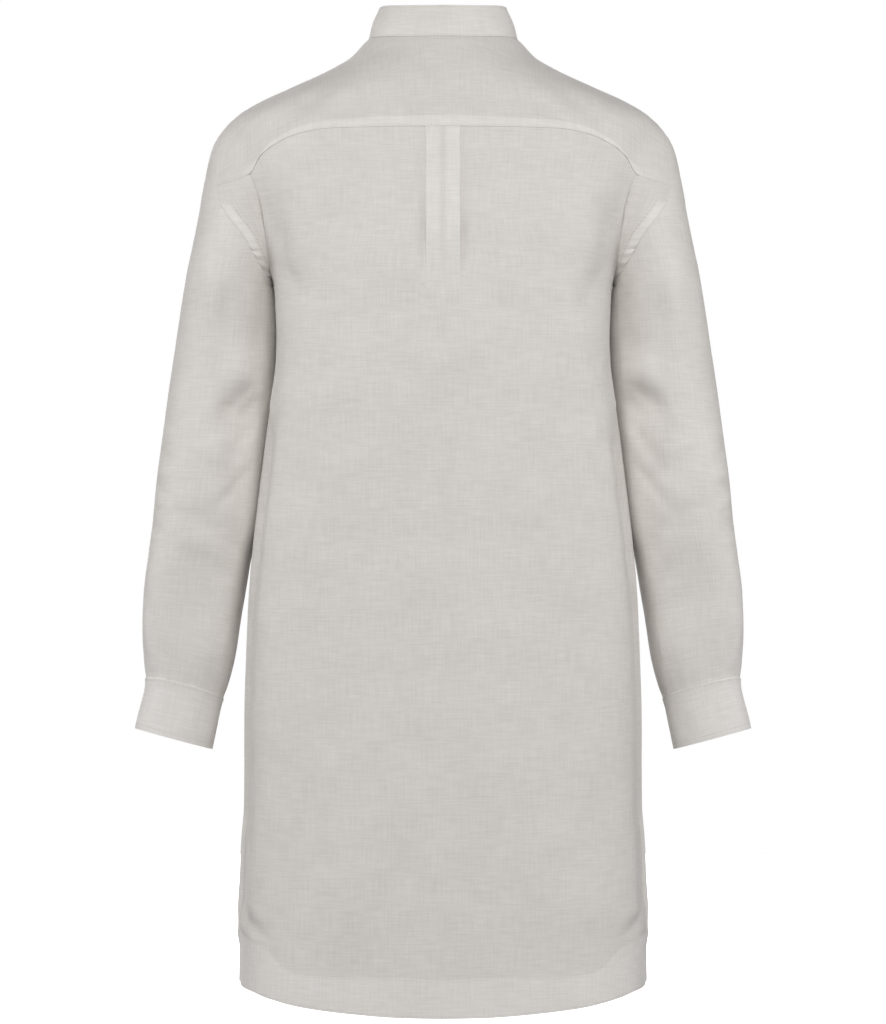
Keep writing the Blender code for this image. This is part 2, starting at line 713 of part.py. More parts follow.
def armhole_point(angle, face):
    """A point on the left armhole seam: degrees round the arm from the outside."""
    angle = np.asarray(angle, float)
    z = armhole_z[face](angle)
    middle_x, middle_y, half_width, half_depth = arm_section(z)
    turn = np.radians(angle)
    flat = np.stack([middle_x + half_width * np.cos(turn), middle_y + face * half_depth * np.sin(turn), z], -1)
    return settle(flat, rounds=3)


def spaced(path, count, start=0.0, stop=1.0):
    """Points at even distances along a fine path."""
    length = np.concatenate([[0], np.cumsum(np.linalg.norm(np.diff(path, axis=0), axis=1))])
    wanted = np.linspace(start, stop, count) * length[-1]
    return np.stack([np.interp(wanted, length, path[:, axis]) for axis in range(3)], axis=-1)


YOKE_FRONT_ANGLE = 33.0     # on the front armhole
NECK_AT_ARMHOLE = 64.0      # degrees round the neck that face the places on the armhole
NECK_AT_SHOULDER = 88.0
NECK_AT_FRONT = 108.0


def armhole_stations():
    """Angles round the armhole where pieces have points, up the back and down the front."""
    part = np.linspace(0, 1, BACK_TOP_ROWS + 1)
    level = np.array([z for z in LEVEL_ROWS if z >= UNDERARM_Z], float)
    back_z = np.concatenate([YOKE_SEAM[-1].z * (1 - part) + PATCH_Z * part, level])
    back = np.degrees(armhole_angle(back_z, 1))
    front = np.degrees(armhole_angle(level, -1))
    patch = np.linspace(YOKE_FRONT_ANGLE, np.degrees(armhole_angle(PATCH_Z, -1)), FRONT_TOP_ROWS + 1)
    over = np.linspace(back[0], 0, YOKE_LOOP_BACK + 1)
    down = np.linspace(0, YOKE_FRONT_ANGLE, YOKE_LOOP_FRONT + 1)
    return {"back": back, "over": over, "down": down, "patch": patch, "front": front}


def front_seam(count):
    """The seam between yoke and front, from the neck to the armhole."""
    start = neck_point(NECK_AT_FRONT)
    end = armhole_point(YOKE_FRONT_ANGLE, -1)
    share = np.linspace(0, 1, 41)[:, None]
    path = settle(start * (1 - share) + end * share)
    path[0], path[-1] = start, end
    return spaced(path, count)


def yoke_neck_angles():
    """Degrees round the neck of the yoke's columns."""
    back = np.linspace(0, NECK_AT_ARMHOLE, len(PANEL_SHARES) + 3)
    side = np.linspace(NECK_AT_ARMHOLE, NECK_AT_SHOULDER, YOKE_LOOP_BACK + 1)[1:]
    front = np.linspace(NECK_AT_SHOULDER, NECK_AT_FRONT, YOKE_LOOP_FRONT + 1)[1:]
    return np.concatenate([back, side, front])


def yoke_half_grid():
    """The left half of the yoke, as rays from the neck to its outer edge."""
    stations = armhole_stations()
    shares = np.concatenate([[0.0, 0.0, 0.0], PANEL_SHARES])
    along = np.concatenate([[0.0, PLEAT_REACH / 2, PLEAT_REACH], np.zeros(len(PANEL_SHARES))])
    seam = chart(yoke_seam_z(shares), shares, along)
    back_loop = armhole_point(stations["over"], 1)[1:]
    front_loop = armhole_point(stations["down"], -1)[1:]
    edge = np.concatenate([seam, back_loop, front_loop])
    neck = neck_point(yoke_neck_angles())
    share = np.linspace(0, 1, YOKE_ROWS + 1)[:, None, None]
    grid = settle(neck[None] * (1 - share) + edge[None] * share)
    grid[0], grid[-1] = neck, edge
    grid[:, -1] = front_seam(YOKE_ROWS + 1)
    return grid


def trim_rows(grid, first, last):
    """Pull the first and last rows of a grid inwards by a small distance."""
    grid = grid.copy()
    for row, inner, gap in ((0, 1, first), (-1, -2, last)):
        step = grid[inner] - grid[row]
        grid[row] = grid[row] + step * (gap / np.linalg.norm(step, axis=-1))[..., None]
    return grid


def make_yoke():
    """The yoke: both halves as one piece, clear of its neighbours at the neck and armholes."""
    half = trim_rows(yoke_half_grid(), 0.1, SEAM_GAP)
    half[:, -1] += (half[:, -2] - half[:, -1]) * (
        SEAM_GAP / np.linalg.norm(half[:, -2] - half[:, -1], axis=-1))[:, None]
    grid = np.concatenate([mirrored(half)[:, :0:-1], half], axis=1)
    return cloth_wall("yoke", grid, outward(grid))


# ---------------------------------------------------------------- back panel with its box pleat

def pleat_stage(z):
    """How far the pleat is folded at a height: turn of each fold, underlay length, soft height."""
    turn = math.pi * (1 - float(smooth_step((-196 - z) / 44)))
    underlay = PLEAT_UNDERLAY * (1 - float(smooth_step((-110 - z) / 92))) + 0.4
    if z < -238:
        turn = 0.0
        underlay = 0.0
    soft = float(smooth_step((z - PLEAT_SOFT_END_Z) / (-238 - PLEAT_SOFT_END_Z)))
    return turn, underlay, soft


def pleat_profile(z):
    """Half of the pleat's section: distance from the centre and height of the wall's two sides."""
    turn, underlay, soft = pleat_stage(z)
    middle = -CLOTH / 2
    radius = PLEAT_RADIUS
    drop = 2 * radius * (1 - math.cos(turn)) + underlay * math.sin(turn)
    top = middle + (PLEAT_TOP - middle) * max(drop / (4 * radius), 0.6 * soft)
    start = PLEAT_HALF_WIDTH - radius * min(1.0, math.sin(min(turn, math.pi / 2)))
    path = [(0.0, top, 0.0), (start * 0.6, top, 0.0), (start, top, 0.0)]
    x, height = start, top
    arcs = 3
    for direction in (-1, 1):
        for part in range(arcs):
            heading = turn * ((part + 0.5) / arcs if direction < 0 else 1 - (part + 0.5) / arcs)
            length = 2 * radius * math.sin(turn / arcs / 2)
            x += length * math.cos(heading)
            height -= length * math.sin(heading)
            after = turn * ((part + 1) / arcs if direction < 0 else 1 - (part + 1) / arcs)
            path.append((x, height, after))
        if direction < 0:
            for _ in range(2):
                x += underlay / 2 * math.cos(turn)
                height -= underlay / 2 * math.sin(turn)
                path.append((x, height, turn))
    low = height
    for part in (0.36, 0.7, 1.0):
        rise = float(smooth_step((part - 0.2) / 0.8))
        path.append((x + (PLEAT_REACH - x) * part, low + (middle - low) * rise, 0.0))
    path = np.array(path)
    lean = np.stack([np.sin(path[:, 2]), np.cos(path[:, 2])], axis=-1) * CLOTH / 2
    return path[:, :2] + lean, path[:, :2] - lean


def panel_rows(top, bottom, share, rows_above):
    """Heights of a panel's grid: from a shaped top edge to level rows to a shaped lower edge."""
    part = np.linspace(0, 1, rows_above + 1)[:, None]
    upper = top * (1 - part) + PATCH_Z * part
    level = np.repeat(np.array(LEVEL_ROWS, float)[:, None], len(share), axis=1)
    return np.concatenate([upper, level, bottom[None]])


def side_gap(z):
    """How far a panel's edge stays back from the armhole seam, and from the side seam."""
    return np.where(z > UNDERARM_Z - 1, SEAM_GAP, SEAM_GAP / 2)


def make_back_panel():
    """The back panel, from the yoke seam to the hem band, folded into one box pleat."""
    shares = np.array(PANEL_SHARES)
    fold_count = pleat_profile(-100.0)[0].shape[0]
    share = np.concatenate([np.zeros(fold_count), shares])
    first = pleat_profile(-100.0)[0][:, 1]
    rise = np.concatenate([first, np.zeros(len(shares))])
    top = yoke_seam_z(share) - SEAM_GAP - np.maximum(rise, 0) * 0.3
    bottom = band_top_z(share) + SEAM_GAP
    z = panel_rows(top, bottom, share, BACK_TOP_ROWS)
    along = {side: np.zeros_like(z) for side in (0, 1)}
    height = {0: np.zeros_like(z), 1: np.full_like(z, -CLOTH)}
    for row in range(len(z)):
        for side, profile in enumerate(pleat_profile(z[row, 0])):
            along[side][row, :fold_count] = profile[:, 0]
            height[side][row, :fold_count] = profile[:, 1]
    folds = body_relief(share[None], along[0], z, 1)
    folds *= smooth_step((yoke_seam_z(share)[None] - z) / 16)
    for side in (0, 1):
        along[side][:, -1] = -side_gap(z[:, -1])
        height[side] += folds
    walls = []
    for side in (0, 1):
        base = chart(z, share[None], along[side])
        base = slit_edge(base, share[None], 1)
        half = base + body_normal(base) * height[side][..., None]
        half[:, 0, 0] = 0.0
        walls.append(np.concatenate([mirrored(half)[:, :0:-1], half], axis=1))
    return wall_mesh("back_panel", walls[0], walls[1])


def make_back_hem_band():
    """The band on the back's lower edge, deeper at both ends."""
    shares = np.concatenate([[0.0, 0.0], np.array(PANEL_SHARES)])
    part = np.linspace(0, 1, 3)[:, None]
    z = (band_top_z(shares)) * (1 - part) + hem_z(shares) * part
    along = np.zeros_like(z)
    along[:, 1] = PLEAT_REACH
    along[:, -1] = -SEAM_GAP / 2
    base = slit_edge(chart(z, shares[None], along), shares[None], 1)
    grid = np.concatenate([mirrored(base)[:, :0:-1], base], axis=1)
    return cloth_wall("back_hem_band", grid, body_normal(grid))


# ---------------------------------------------------------------- fronts, their bands and the strip

LAP_STEPS = (-STRIP_UNDERLAP, 0.0, 12.0, 18.0, 23.0, 28.0)
LAP_HEIGHTS = (-1.5, -1.5, -1.5, -1.4, -0.7, 0.0)


def front_columns(under):
    """Distances, shares and depths of a front's columns: under the strip, or beside it."""
    shares = np.array(FRONT_SHARES)
    if under:
        steps = np.array(LAP_STEPS)
        sink = np.array(LAP_HEIGHTS)
    else:
        steps = np.array([STRIP_HALF_WIDTH + SEAM_GAP, 22.0, 28.0])
        sink = np.zeros(3)
    along = np.concatenate([steps, np.zeros(len(shares))])
    share = np.concatenate([np.zeros(len(steps)), shares])
    return along, share, np.concatenate([sink, np.zeros(len(shares))])


def neck_angle_at(x):
    """Degrees round the neck, near the centre front, at which it is this far to the side."""
    return 180.0 - math.degrees(math.asin(x / NECK_HALF_WIDTH))


def front_neck_angles(along):
    """Degrees round the neck of a front's columns, from its edge to the yoke."""
    near = [neck_angle_at(distance) for distance in along]
    return np.concatenate([near, np.linspace(near[-1], NECK_AT_FRONT, FRONT_NECK_COLUMNS + 1)[1:]])


def front_patch(along, share):
    """The upper part of a front between its shaped upper edge and the first level row."""
    neck = neck_point(front_neck_angles(along[share == 0.0]))
    seam = front_seam(len(share) - len(neck) + 1)
    top = np.concatenate([neck, seam[1:]])
    bottom = chart(np.full(len(share), PATCH_Z), share, along, face=-1)
    right = armhole_point(armhole_stations()["patch"], -1)
    part = np.linspace(0, 1, FRONT_TOP_ROWS + 1)
    left = chart(top[0, 2] * (1 - part) + PATCH_Z * part, 0.0, along[0], face=-1)
    left[0] = top[0]
    edge = np.concatenate([[0], np.cumsum(np.linalg.norm(np.diff(bottom, axis=0), axis=1))])
    u, v = (edge / edge[-1])[None, :, None], part[:, None, None]
    ruled = top[None] * (1 - v) + bottom[None] * v + left[:, None] * (1 - u) + right[:, None] * u
    corners = (top[0] * (1 - u) * (1 - v) + top[-1] * u * (1 - v)
               + bottom[0] * (1 - u) * v + bottom[-1] * u * v)
    grid = settle(ruled - corners)
    grid[0], grid[-1], grid[:, 0], grid[:, -1] = top, bottom, left, right
    return grid


def front_grid(under):
    """Points of the left front on the form, and how far off it the cloth lies there."""
    along, share, sink = front_columns(under)
    patch = front_patch(along, share)
    step = patch[1] - patch[0]
    patch[0] += step * (0.35 / np.linalg.norm(step, axis=-1))[:, None]
    patch[0, share >= FRONT_SHARES[FRONT_NECK_COLUMNS - 1], 2] -= 0.3
    z = np.concatenate([
        np.repeat(np.array(LEVEL_ROWS, float)[:, None], len(share), axis=1),
        (band_top_z(share) + SEAM_GAP)[None],
    ])
    shift = np.repeat(along[None], len(z), axis=0)
    shift[:, -1] = -side_gap(z[:, -1])
    lower = slit_edge(chart(z, share[None], shift, face=-1), share[None], -1)
    side = patch[:, -2] - patch[:, -1]
    patch[:, -1] += side * (SEAM_GAP / np.linalg.norm(side, axis=-1))[:, None]
    grid = np.concatenate([patch, lower])
    folds = body_relief(share[None], along[None], grid[..., 2], -1)
    folds *= smooth_step((grid[0, :, 2][None] - grid[..., 2]) / 18)
    return grid, sink[None] + folds


def make_front(name, under):
    """A front panel. The left one lies under the button strip, the right one beside it."""
    grid, height = front_grid(under)
    normal = body_normal(grid)
    outer = grid + normal * height[..., None]
    inner = outer - normal * CLOTH
    if not under:
        outer, inner = mirrored(outer), mirrored(inner)
    return wall_mesh(name, outer, inner)


def make_front_hem_band(name, under):
    """The band on a front's lower edge."""
    along, share, sink = front_columns(under)
    part = np.linspace(0, 1, 3)[:, None]
    z = band_top_z(share) * (1 - part) + hem_z(share) * part
    shift = np.repeat(along[None], len(z), axis=0)
    shift[:, -1] = -SEAM_GAP / 2
    grid = slit_edge(chart(z, share[None], shift, face=-1), share[None], -1)
    normal = body_normal(grid)
    outer = grid + normal * sink[None, :, None]
    inner = outer - normal * CLOTH
    if not under:
        outer, inner = mirrored(outer), mirrored(inner)
    return wall_mesh(name, outer, inner)


def make_strip():
    """The button strip down the centre front."""
    along = STRIP_HALF_WIDTH * np.array(STRIP_PLACES)
    neck = neck_point(180.0 - np.degrees(np.arcsin(along / NECK_HALF_WIDTH)))
    part = np.linspace(0, 1, FRONT_TOP_ROWS + 1)[:, None]
    upper = (neck[:, 2] - 0.4)[None] * (1 - part) + PATCH_Z * part
    heights = np.array(LEVEL_ROWS + (-840, HEM[0].z), float)
    z = np.concatenate([upper, np.repeat(heights[:, None], len(along), axis=1)])
    grid = chart(z, 0.0, along[None], face=-1)
    return cloth_wall("front_placket", grid, body_normal(grid))


# ---------------------------------------------------------------- collar band and cuffs

def make_collar():
    """The collar band: it stands on the neck seam, and its ends lap at the centre front."""
    lap = math.degrees(COLLAR_LAP / NECK_HALF_WIDTH)
    near = front_columns(False)[0][:3]
    half = np.unique(np.round(np.concatenate([
        yoke_neck_angles(), front_neck_angles(near), [neck_angle_at(7.5), 180.0]]), 4))
    past = 180 + lap * np.array([0.5, 1.0])
    half = np.concatenate([half, past])
    angle = np.concatenate([-half[:0:-1], half])
    foot = neck_point(angle)
    foot[:, 2] += 0.5
    turn = np.radians(angle)
    top = np.stack([COLLAR_TOP_HALF_WIDTH * np.sin(turn),
                    COLLAR_TOP_MIDDLE_Y + COLLAR_TOP_HALF_DEPTH * np.cos(turn),
                    foot[:, 2] + COLLAR_HEIGHT + COLLAR_SIDE_RISE * np.sin(turn) ** 2], axis=-1)
    part = np.array([0.0, 0.5, 1.0])[:, None, None]
    grid = foot[None] * (1 - part) + top[None] * part
    grid[1, :, :2] *= 1.006
    across = np.stack([np.sin(turn), np.cos(turn) * NECK_HALF_WIDTH / NECK_HALF_DEPTH,
                       np.zeros_like(turn)], axis=-1)
    across /= np.linalg.norm(across, axis=-1)[:, None]
    under = smooth_step((angle - (180 - 2.2 * lap)) / (1.1 * lap)) * (BAND + SEAM_GAP + 0.1)
    outer = grid - (across * under[:, None])[None]
    inner = outer - across[None] * BAND
    return wall_mesh("collar_band", outer, inner)


def ring_at(z, angle):
    """Points round the left arm's tilted section at a height; angle in radians."""
    middle_x, middle_y, half_width, half_depth = arm_section(z)
    x = half_width * np.cos(angle)
    y = half_depth * np.sin(angle)
    lift = arm["rise_out"](z) * x + arm["rise_back"](z) * y
    return np.stack([middle_x + x, middle_y + y, z + lift], axis=-1)


def make_cuff(name, left):
    """A cuff: a band round the wrist whose ends lap."""
    angle = np.radians(CUFF_LAP_AT + np.linspace(-CUFF_LAP_ANGLE / 2, 360 + CUFF_LAP_ANGLE / 2, 33))
    top_z = ARM[-2].z - 0.5
    part = np.array([0.0, 0.5, 1.0])
    z = top_z - part * (CUFF_HEIGHT - 0.5)
    grid = np.stack([ring_at(np.full(angle.shape, level), angle) for level in z])
    middle = grid.mean(axis=1, keepdims=True)
    across = grid - middle
    across /= np.linalg.norm(across, axis=-1)[..., None]
    turned = np.degrees(angle) - CUFF_LAP_AT
    under = smooth_step((turned - (360 - 1.6 * CUFF_LAP_ANGLE)) / (0.9 * CUFF_LAP_ANGLE))
    outer = grid + across * 0.8 - across * (under * (BAND + SEAM_GAP + 0.1))[None, :, None]
    inner = outer - across * BAND
    if not left:
        outer, inner = mirrored(outer), mirrored(inner)
    return wall_mesh(name, outer, inner)


# ---------------------------------------------------------------- sleeves

def armhole_loop():
    """Angles and heights round the armhole seam, from the underarm up the back and round."""
    stations = armhole_stations()
    back = np.concatenate([stations["back"][::-1], stations["over"][1:]])
    front = np.concatenate([stations["down"][1:], stations["patch"][1:], stations["front"][:-1]])
    turn = np.radians(np.concatenate([back, -front]))
    z = np.concatenate([armhole_z[1](back), armhole_z[-1](front)])
    return turn, z


def sleeve_grid(cap_rows=4):
    """Rings of the left sleeve, from the armhole seam to the cuff."""
    top_turn, top_z = armhole_loop()
    cols = len(top_z)
    even = np.radians(180 - 360 * np.arange(cols) / cols)
    first_ring = SLEEVE_RINGS[0]
    rows = []
    for part in np.linspace(0, 1, cap_rows + 1)[:-1]:
        z = top_z * (1 - part) + first_ring * part
        if part == 0:
            z = z - 0.35
        rows.append(ring_at(z, top_turn * (1 - part) + even * part))
    for z in SLEEVE_RINGS:
        rows.append(ring_at(np.full(cols, float(z)), even))
    grid = np.stack(rows)
    upper = grid[..., 2] > UNDERARM_Z
    grid[upper] = settle(grid[upper], rounds=3)
    return grid


def make_sleeve(name, left):
    """A sleeve: one tube, shaped at its top to the armhole."""
    outer = sleeve_grid()
    normal = outward(outer, arm_gap)
    upper = outer[..., 2] > UNDERARM_Z
    normal[upper] = outward(outer[upper])
    inner = outer - normal * CLOTH
    if not left:
        outer, inner = mirrored(outer), mirrored(inner)
    return wall_mesh(name, outer, inner, closed=True)


# ---------------------------------------------------------------- buttons

def button_mesh(name):
    """A round button with a raised rim, turned about its own axis."""
    profile = (
        (0.0, 0.0),
        (BUTTON_RADIUS * 0.82, 0.0),
        (BUTTON_RADIUS, BUTTON_THICKNESS * 0.45),
        (BUTTON_RADIUS * 0.9, BUTTON_THICKNESS),
        (BUTTON_RADIUS * 0.68, BUTTON_THICKNESS * 0.72),
        (0.0, BUTTON_THICKNESS * 0.72),
    )
    shape = bmesh.new()
    corners = [shape.verts.new(Vector((radius, 0, height)) * MM) for radius, height in profile]
    edges = [shape.edges.new(pair) for pair in zip(corners, corners[1:])]
    bmesh.ops.spin(shape, geom=corners + edges, cent=(0, 0, 0), axis=(0, 0, 1),
                   angle=math.tau, steps=BUTTON_SIDES, use_merge=True)
    bmesh.ops.remove_doubles(shape, verts=shape.verts, dist=1e-6)
    bmesh.ops.dissolve_degenerate(shape, edges=shape.edges, dist=1e-7)
    bmesh.ops.recalc_face_normals(shape, faces=shape.faces)
    mesh = bpy.data.meshes.new(name)
    shape.to_mesh(mesh)
    shape.free()
    return mesh


def place_button(name, point, normal, material, parent):
    """Set a button on the cloth, just clear of it."""
    item = add_object(name, button_mesh(name), material, parent)
    direction = Vector(normal.tolist()).normalized()
    item.location = (Vector(point.tolist()) + direction * (SEAM_GAP + 0.1)) * MM
    item.rotation_mode = "QUATERNION"
    item.rotation_quaternion = direction.to_track_quat("Z", "Y")
    return item


def make_buttons(material, parent):
    """The front row, the collar button and one button on each cuff."""
    for number in range(FRONT_BUTTONS):
        z = FIRST_BUTTON_Z - BUTTON_SPACING * number
        point = chart(np.array([z]), 0.0, 0.0, face=-1)
        place_button(f"button_front_{number + 1:02d}", point[0], body_normal(point)[0], material, parent)
    foot = neck_point(180.0)
    rise = np.array([0.0, COLLAR_TOP_MIDDLE_Y - COLLAR_TOP_HALF_DEPTH - foot[1], COLLAR_HEIGHT])
    centre = foot + rise * 0.5 + np.array([0, -0.6, 0.5])
    facing = np.array([0.0, -rise[2], rise[1]])
    place_button("button_collar", centre, facing, material, parent)
    for name, side in (("button_cuff_left", 1), ("button_cuff_right", -1)):
        z = ARM[-2].z - CUFF_HEIGHT / 2
        turn = np.radians(np.array([CUFF_LAP_AT + 2.0]))
        ring = ring_at(np.full(1, z), turn)[0]
        middle = ring_at(np.full(60, z), np.linspace(0, math.tau, 60)).mean(axis=0)
        across = (ring - middle) / np.linalg.norm(ring - middle)
        point = (ring + across * 1.5) * np.array([side, 1, 1])
        place_button(name, point, across * np.array([side, 1, 1]), material, parent)


# ---------------------------------------------------------------- objects

def add_material(name, colour, roughness):
    """A plain finish."""
    material = bpy.data.materials.new(name)
    material.use_nodes = True
    shader = material.node_tree.nodes["Principled BSDF"]
    linear = [((c + 0.055) / 1.055) ** 2.4 for c in colour]
    shader.inputs["Base Color"].default_value = (*linear, 1.0)
    shader.inputs["Roughness"].default_value = roughness
    shader.inputs["Metallic"].default_value = 0.0
    return material


def add_object(name, mesh, material, parent):
    """Link a mesh to the scene as one named piece."""
    mesh.materials.append(material)
    item = bpy.data.objects.new(name, mesh)
    item.parent = parent
    bpy.context.scene.collection.objects.link(item)
    return item


def main():
    """Build the shirt."""
    clear_scene()
    shirt = bpy.data.objects.new("shirt", None)
    bpy.context.scene.collection.objects.link(shirt)
    pieces = (
        (make_back_panel(), LINEN),
        (make_yoke(), LINEN),
        (make_back_hem_band(), LINEN_DOUBLE),
        (make_front("front_left", True), LINEN),
        (make_front("front_right", False), LINEN),
        (make_front_hem_band("front_hem_band_left", True), LINEN_DOUBLE),
        (make_front_hem_band("front_hem_band_right", False), LINEN_DOUBLE),
        (make_strip(), LINEN_DOUBLE),
        (make_collar(), LINEN_DOUBLE),
        (make_sleeve("sleeve_left", True), LINEN),
        (make_sleeve("sleeve_right", False), LINEN),
        (make_cuff("cuff_left", True), LINEN_DOUBLE),
        (make_cuff("cuff_right", False), LINEN_DOUBLE),
    )
    for mesh, colour in pieces:
        add_object(mesh.name, mesh, add_material(mesh.name + "_linen", colour, 0.9), shirt)
    make_buttons(add_material("shell_button", BUTTON_SHELL, 0.35), shirt)


main()
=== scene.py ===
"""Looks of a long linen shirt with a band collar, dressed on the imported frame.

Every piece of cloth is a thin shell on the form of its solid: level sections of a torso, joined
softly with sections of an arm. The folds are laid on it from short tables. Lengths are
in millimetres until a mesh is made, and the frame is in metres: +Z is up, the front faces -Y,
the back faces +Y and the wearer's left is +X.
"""

from __future__ import annotations

import logging
import math
from dataclasses import dataclass, field
from enum import Enum
from typing import Callable, NamedTuple, Sequence

import bmesh
import bpy
import numpy as np
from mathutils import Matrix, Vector

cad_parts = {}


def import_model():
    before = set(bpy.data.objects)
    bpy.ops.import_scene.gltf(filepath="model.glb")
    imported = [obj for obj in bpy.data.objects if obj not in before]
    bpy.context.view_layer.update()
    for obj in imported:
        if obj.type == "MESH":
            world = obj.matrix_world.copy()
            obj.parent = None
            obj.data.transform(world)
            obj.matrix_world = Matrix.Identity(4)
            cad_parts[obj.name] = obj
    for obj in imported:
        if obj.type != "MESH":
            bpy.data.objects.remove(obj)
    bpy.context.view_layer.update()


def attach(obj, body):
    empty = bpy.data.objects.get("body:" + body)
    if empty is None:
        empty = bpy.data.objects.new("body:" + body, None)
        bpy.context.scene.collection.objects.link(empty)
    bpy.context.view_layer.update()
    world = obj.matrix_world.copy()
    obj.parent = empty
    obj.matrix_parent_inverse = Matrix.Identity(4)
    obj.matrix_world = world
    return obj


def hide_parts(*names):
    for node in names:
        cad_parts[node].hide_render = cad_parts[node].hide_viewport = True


LOG = logging.getLogger("shirt")
MM = 0.001
Array = np.ndarray


# -------- tables

class TorsoRow(NamedTuple):
    """One level section of the body: where it is widest, and its back and front halves."""

    z: float
    half_width: float
    widest_y: float
    back_y: float
    front_y: float
    back_square: float    # 2 is an ellipse, more is squarer
    front_square: float
    seam_y: float


class ArmRow(NamedTuple):
    """One section of an arm. A tilted section rises outwards and backwards."""

    z: float
    outer: float
    inner: float
    middle_y: float
    half_depth: float
    rise_out: float
    rise_back: float


class EdgeRow(NamedTuple):
    """A place on an edge: its share of the way from the centre to the side, and its height."""

    share: float
    z: float


class ArmholeRow(NamedTuple):
    """A place on the armhole seam: its angle round the arm from the outside, and its height."""

    angle: float
    z: float


class BlendRow(NamedTuple):
    """How softly torso and arm run into each other at a height."""

    z: float
    radius: float


class Fold(NamedTuple):
    """A soft crease between two places of a piece; a negative height makes a trough."""

    at: float
    z: float
    to_at: float
    to_z: float
    width: float
    height: float
    bow: float = 0.0


def table(kind: Callable[..., NamedTuple], rows: Sequence[tuple]) -> tuple:
    """A table with a name for each value of its rows."""
    return tuple(kind(*row) for row in rows)


TORSO = table(TorsoRow, (
    (34, 50.0, 0, 44.0, -40.0, 1.9, 2.2, 0),
    (22, 66.0, 0, 54.0, -46.0, 1.9, 2.2, 0),
    (18, 70.8, 0, 57.5, -48.0, 1.9, 2.2, 0),
    (13, 76.0, 0, 61.5, -50.0, 1.92, 2.2, 0),
    (6, 82.1, 0, 65.2, -52.5, 1.97, 2.2, 0),
    (0, 88.2, 1, 68.5, -54.5, 2.05, 2.2, 0),
    (-7, 99.7, 1, 72.0, -57.0, 2.12, 2.2, 0),
    (-14, 112.9, 1, 75.5, -59.5, 2.17, 2.2, 0),
    (-28, 143.3, 2, 82.0, -65.0, 2.2, 2.2, 0),
    (-42, 174.0, 2, 87.5, -71.5, 2.2, 2.2, 0),
    (-56, 196.0, 2, 92.5, -78.5, 2.25, 2.2, 0),
    (-66, 203.5, 2, 95.5, -84.0, 2.3, 2.2, 0),
    (-85, 198.0, 1, 100.5, -94.0, 2.4, 2.25, 0),
    (-99, 194.0, 0, 104.0, -101.0, 2.5, 2.3, 0),
    (-114, 188.0, 0, 107.5, -108.0, 2.6, 2.3, 0),
    (-141, 175.8, -2, 113.0, -118.0, 2.75, 2.3, -2),
    (-170, 166.5, -3, 117.0, -126.0, 2.9, 2.3, -3),
    (-197, 160.8, -4.5, 119.5, -131.5, 3.0, 2.3, -4.5),
    (-212, 158.6, -5, 120.5, -133.5, 3.0, 2.3, -5),
    (-225, 157.4, 0, 121.0, -135.0, 3.0, 2.3, -5),
    (-245, 156.4, 10, 121.5, -136.0, 3.0, 2.3, -4),
    (-265, 155.9, 17, 122.0, -136.5, 3.0, 2.3, -2),
    (-285, 156.3, 20, 122.5, -136.5, 3.0, 2.3, 0),
    (-310, 158.8, 21, 122.5, -136.0, 3.0, 2.3, 0),
    (-348, 164.5, 22, 121.5, -135.0, 2.95, 2.3, 0),
    (-395, 170.5, 21, 121.0, -134.5, 2.9, 2.3, 0),
    (-451, 177.3, 18, 121.5, -134.5, 2.85, 2.3, 0),
    (-507, 182.3, 12, 122.0, -135.0, 2.75, 2.3, -1),
    (-560, 184.8, 6, 123.0, -136.0, 2.7, 2.35, -3),
    (-610, 186.6, 2, 124.0, -137.0, 2.65, 2.4, -5),
    (-700, 187.3, -4, 126.0, -139.0, 2.6, 2.4, -8),
    (-730, 189.7, -5, 126.8, -139.5, 2.6, 2.4, -9),
    (-760, 191.2, -6, 127.5, -140.0, 2.6, 2.4, -10),
    (-790, 191.6, -6, 128.4, -141.0, 2.6, 2.4, -10),
    (-812, 190.0, -7, 129.0, -141.5, 2.6, 2.4, -10),
    (-830, 189.6, -7, 129.5, -142.0, 2.6, 2.4, -10),
    (-895, 190.8, -8, 131.0, -143.0, 2.6, 2.4, -10),
))

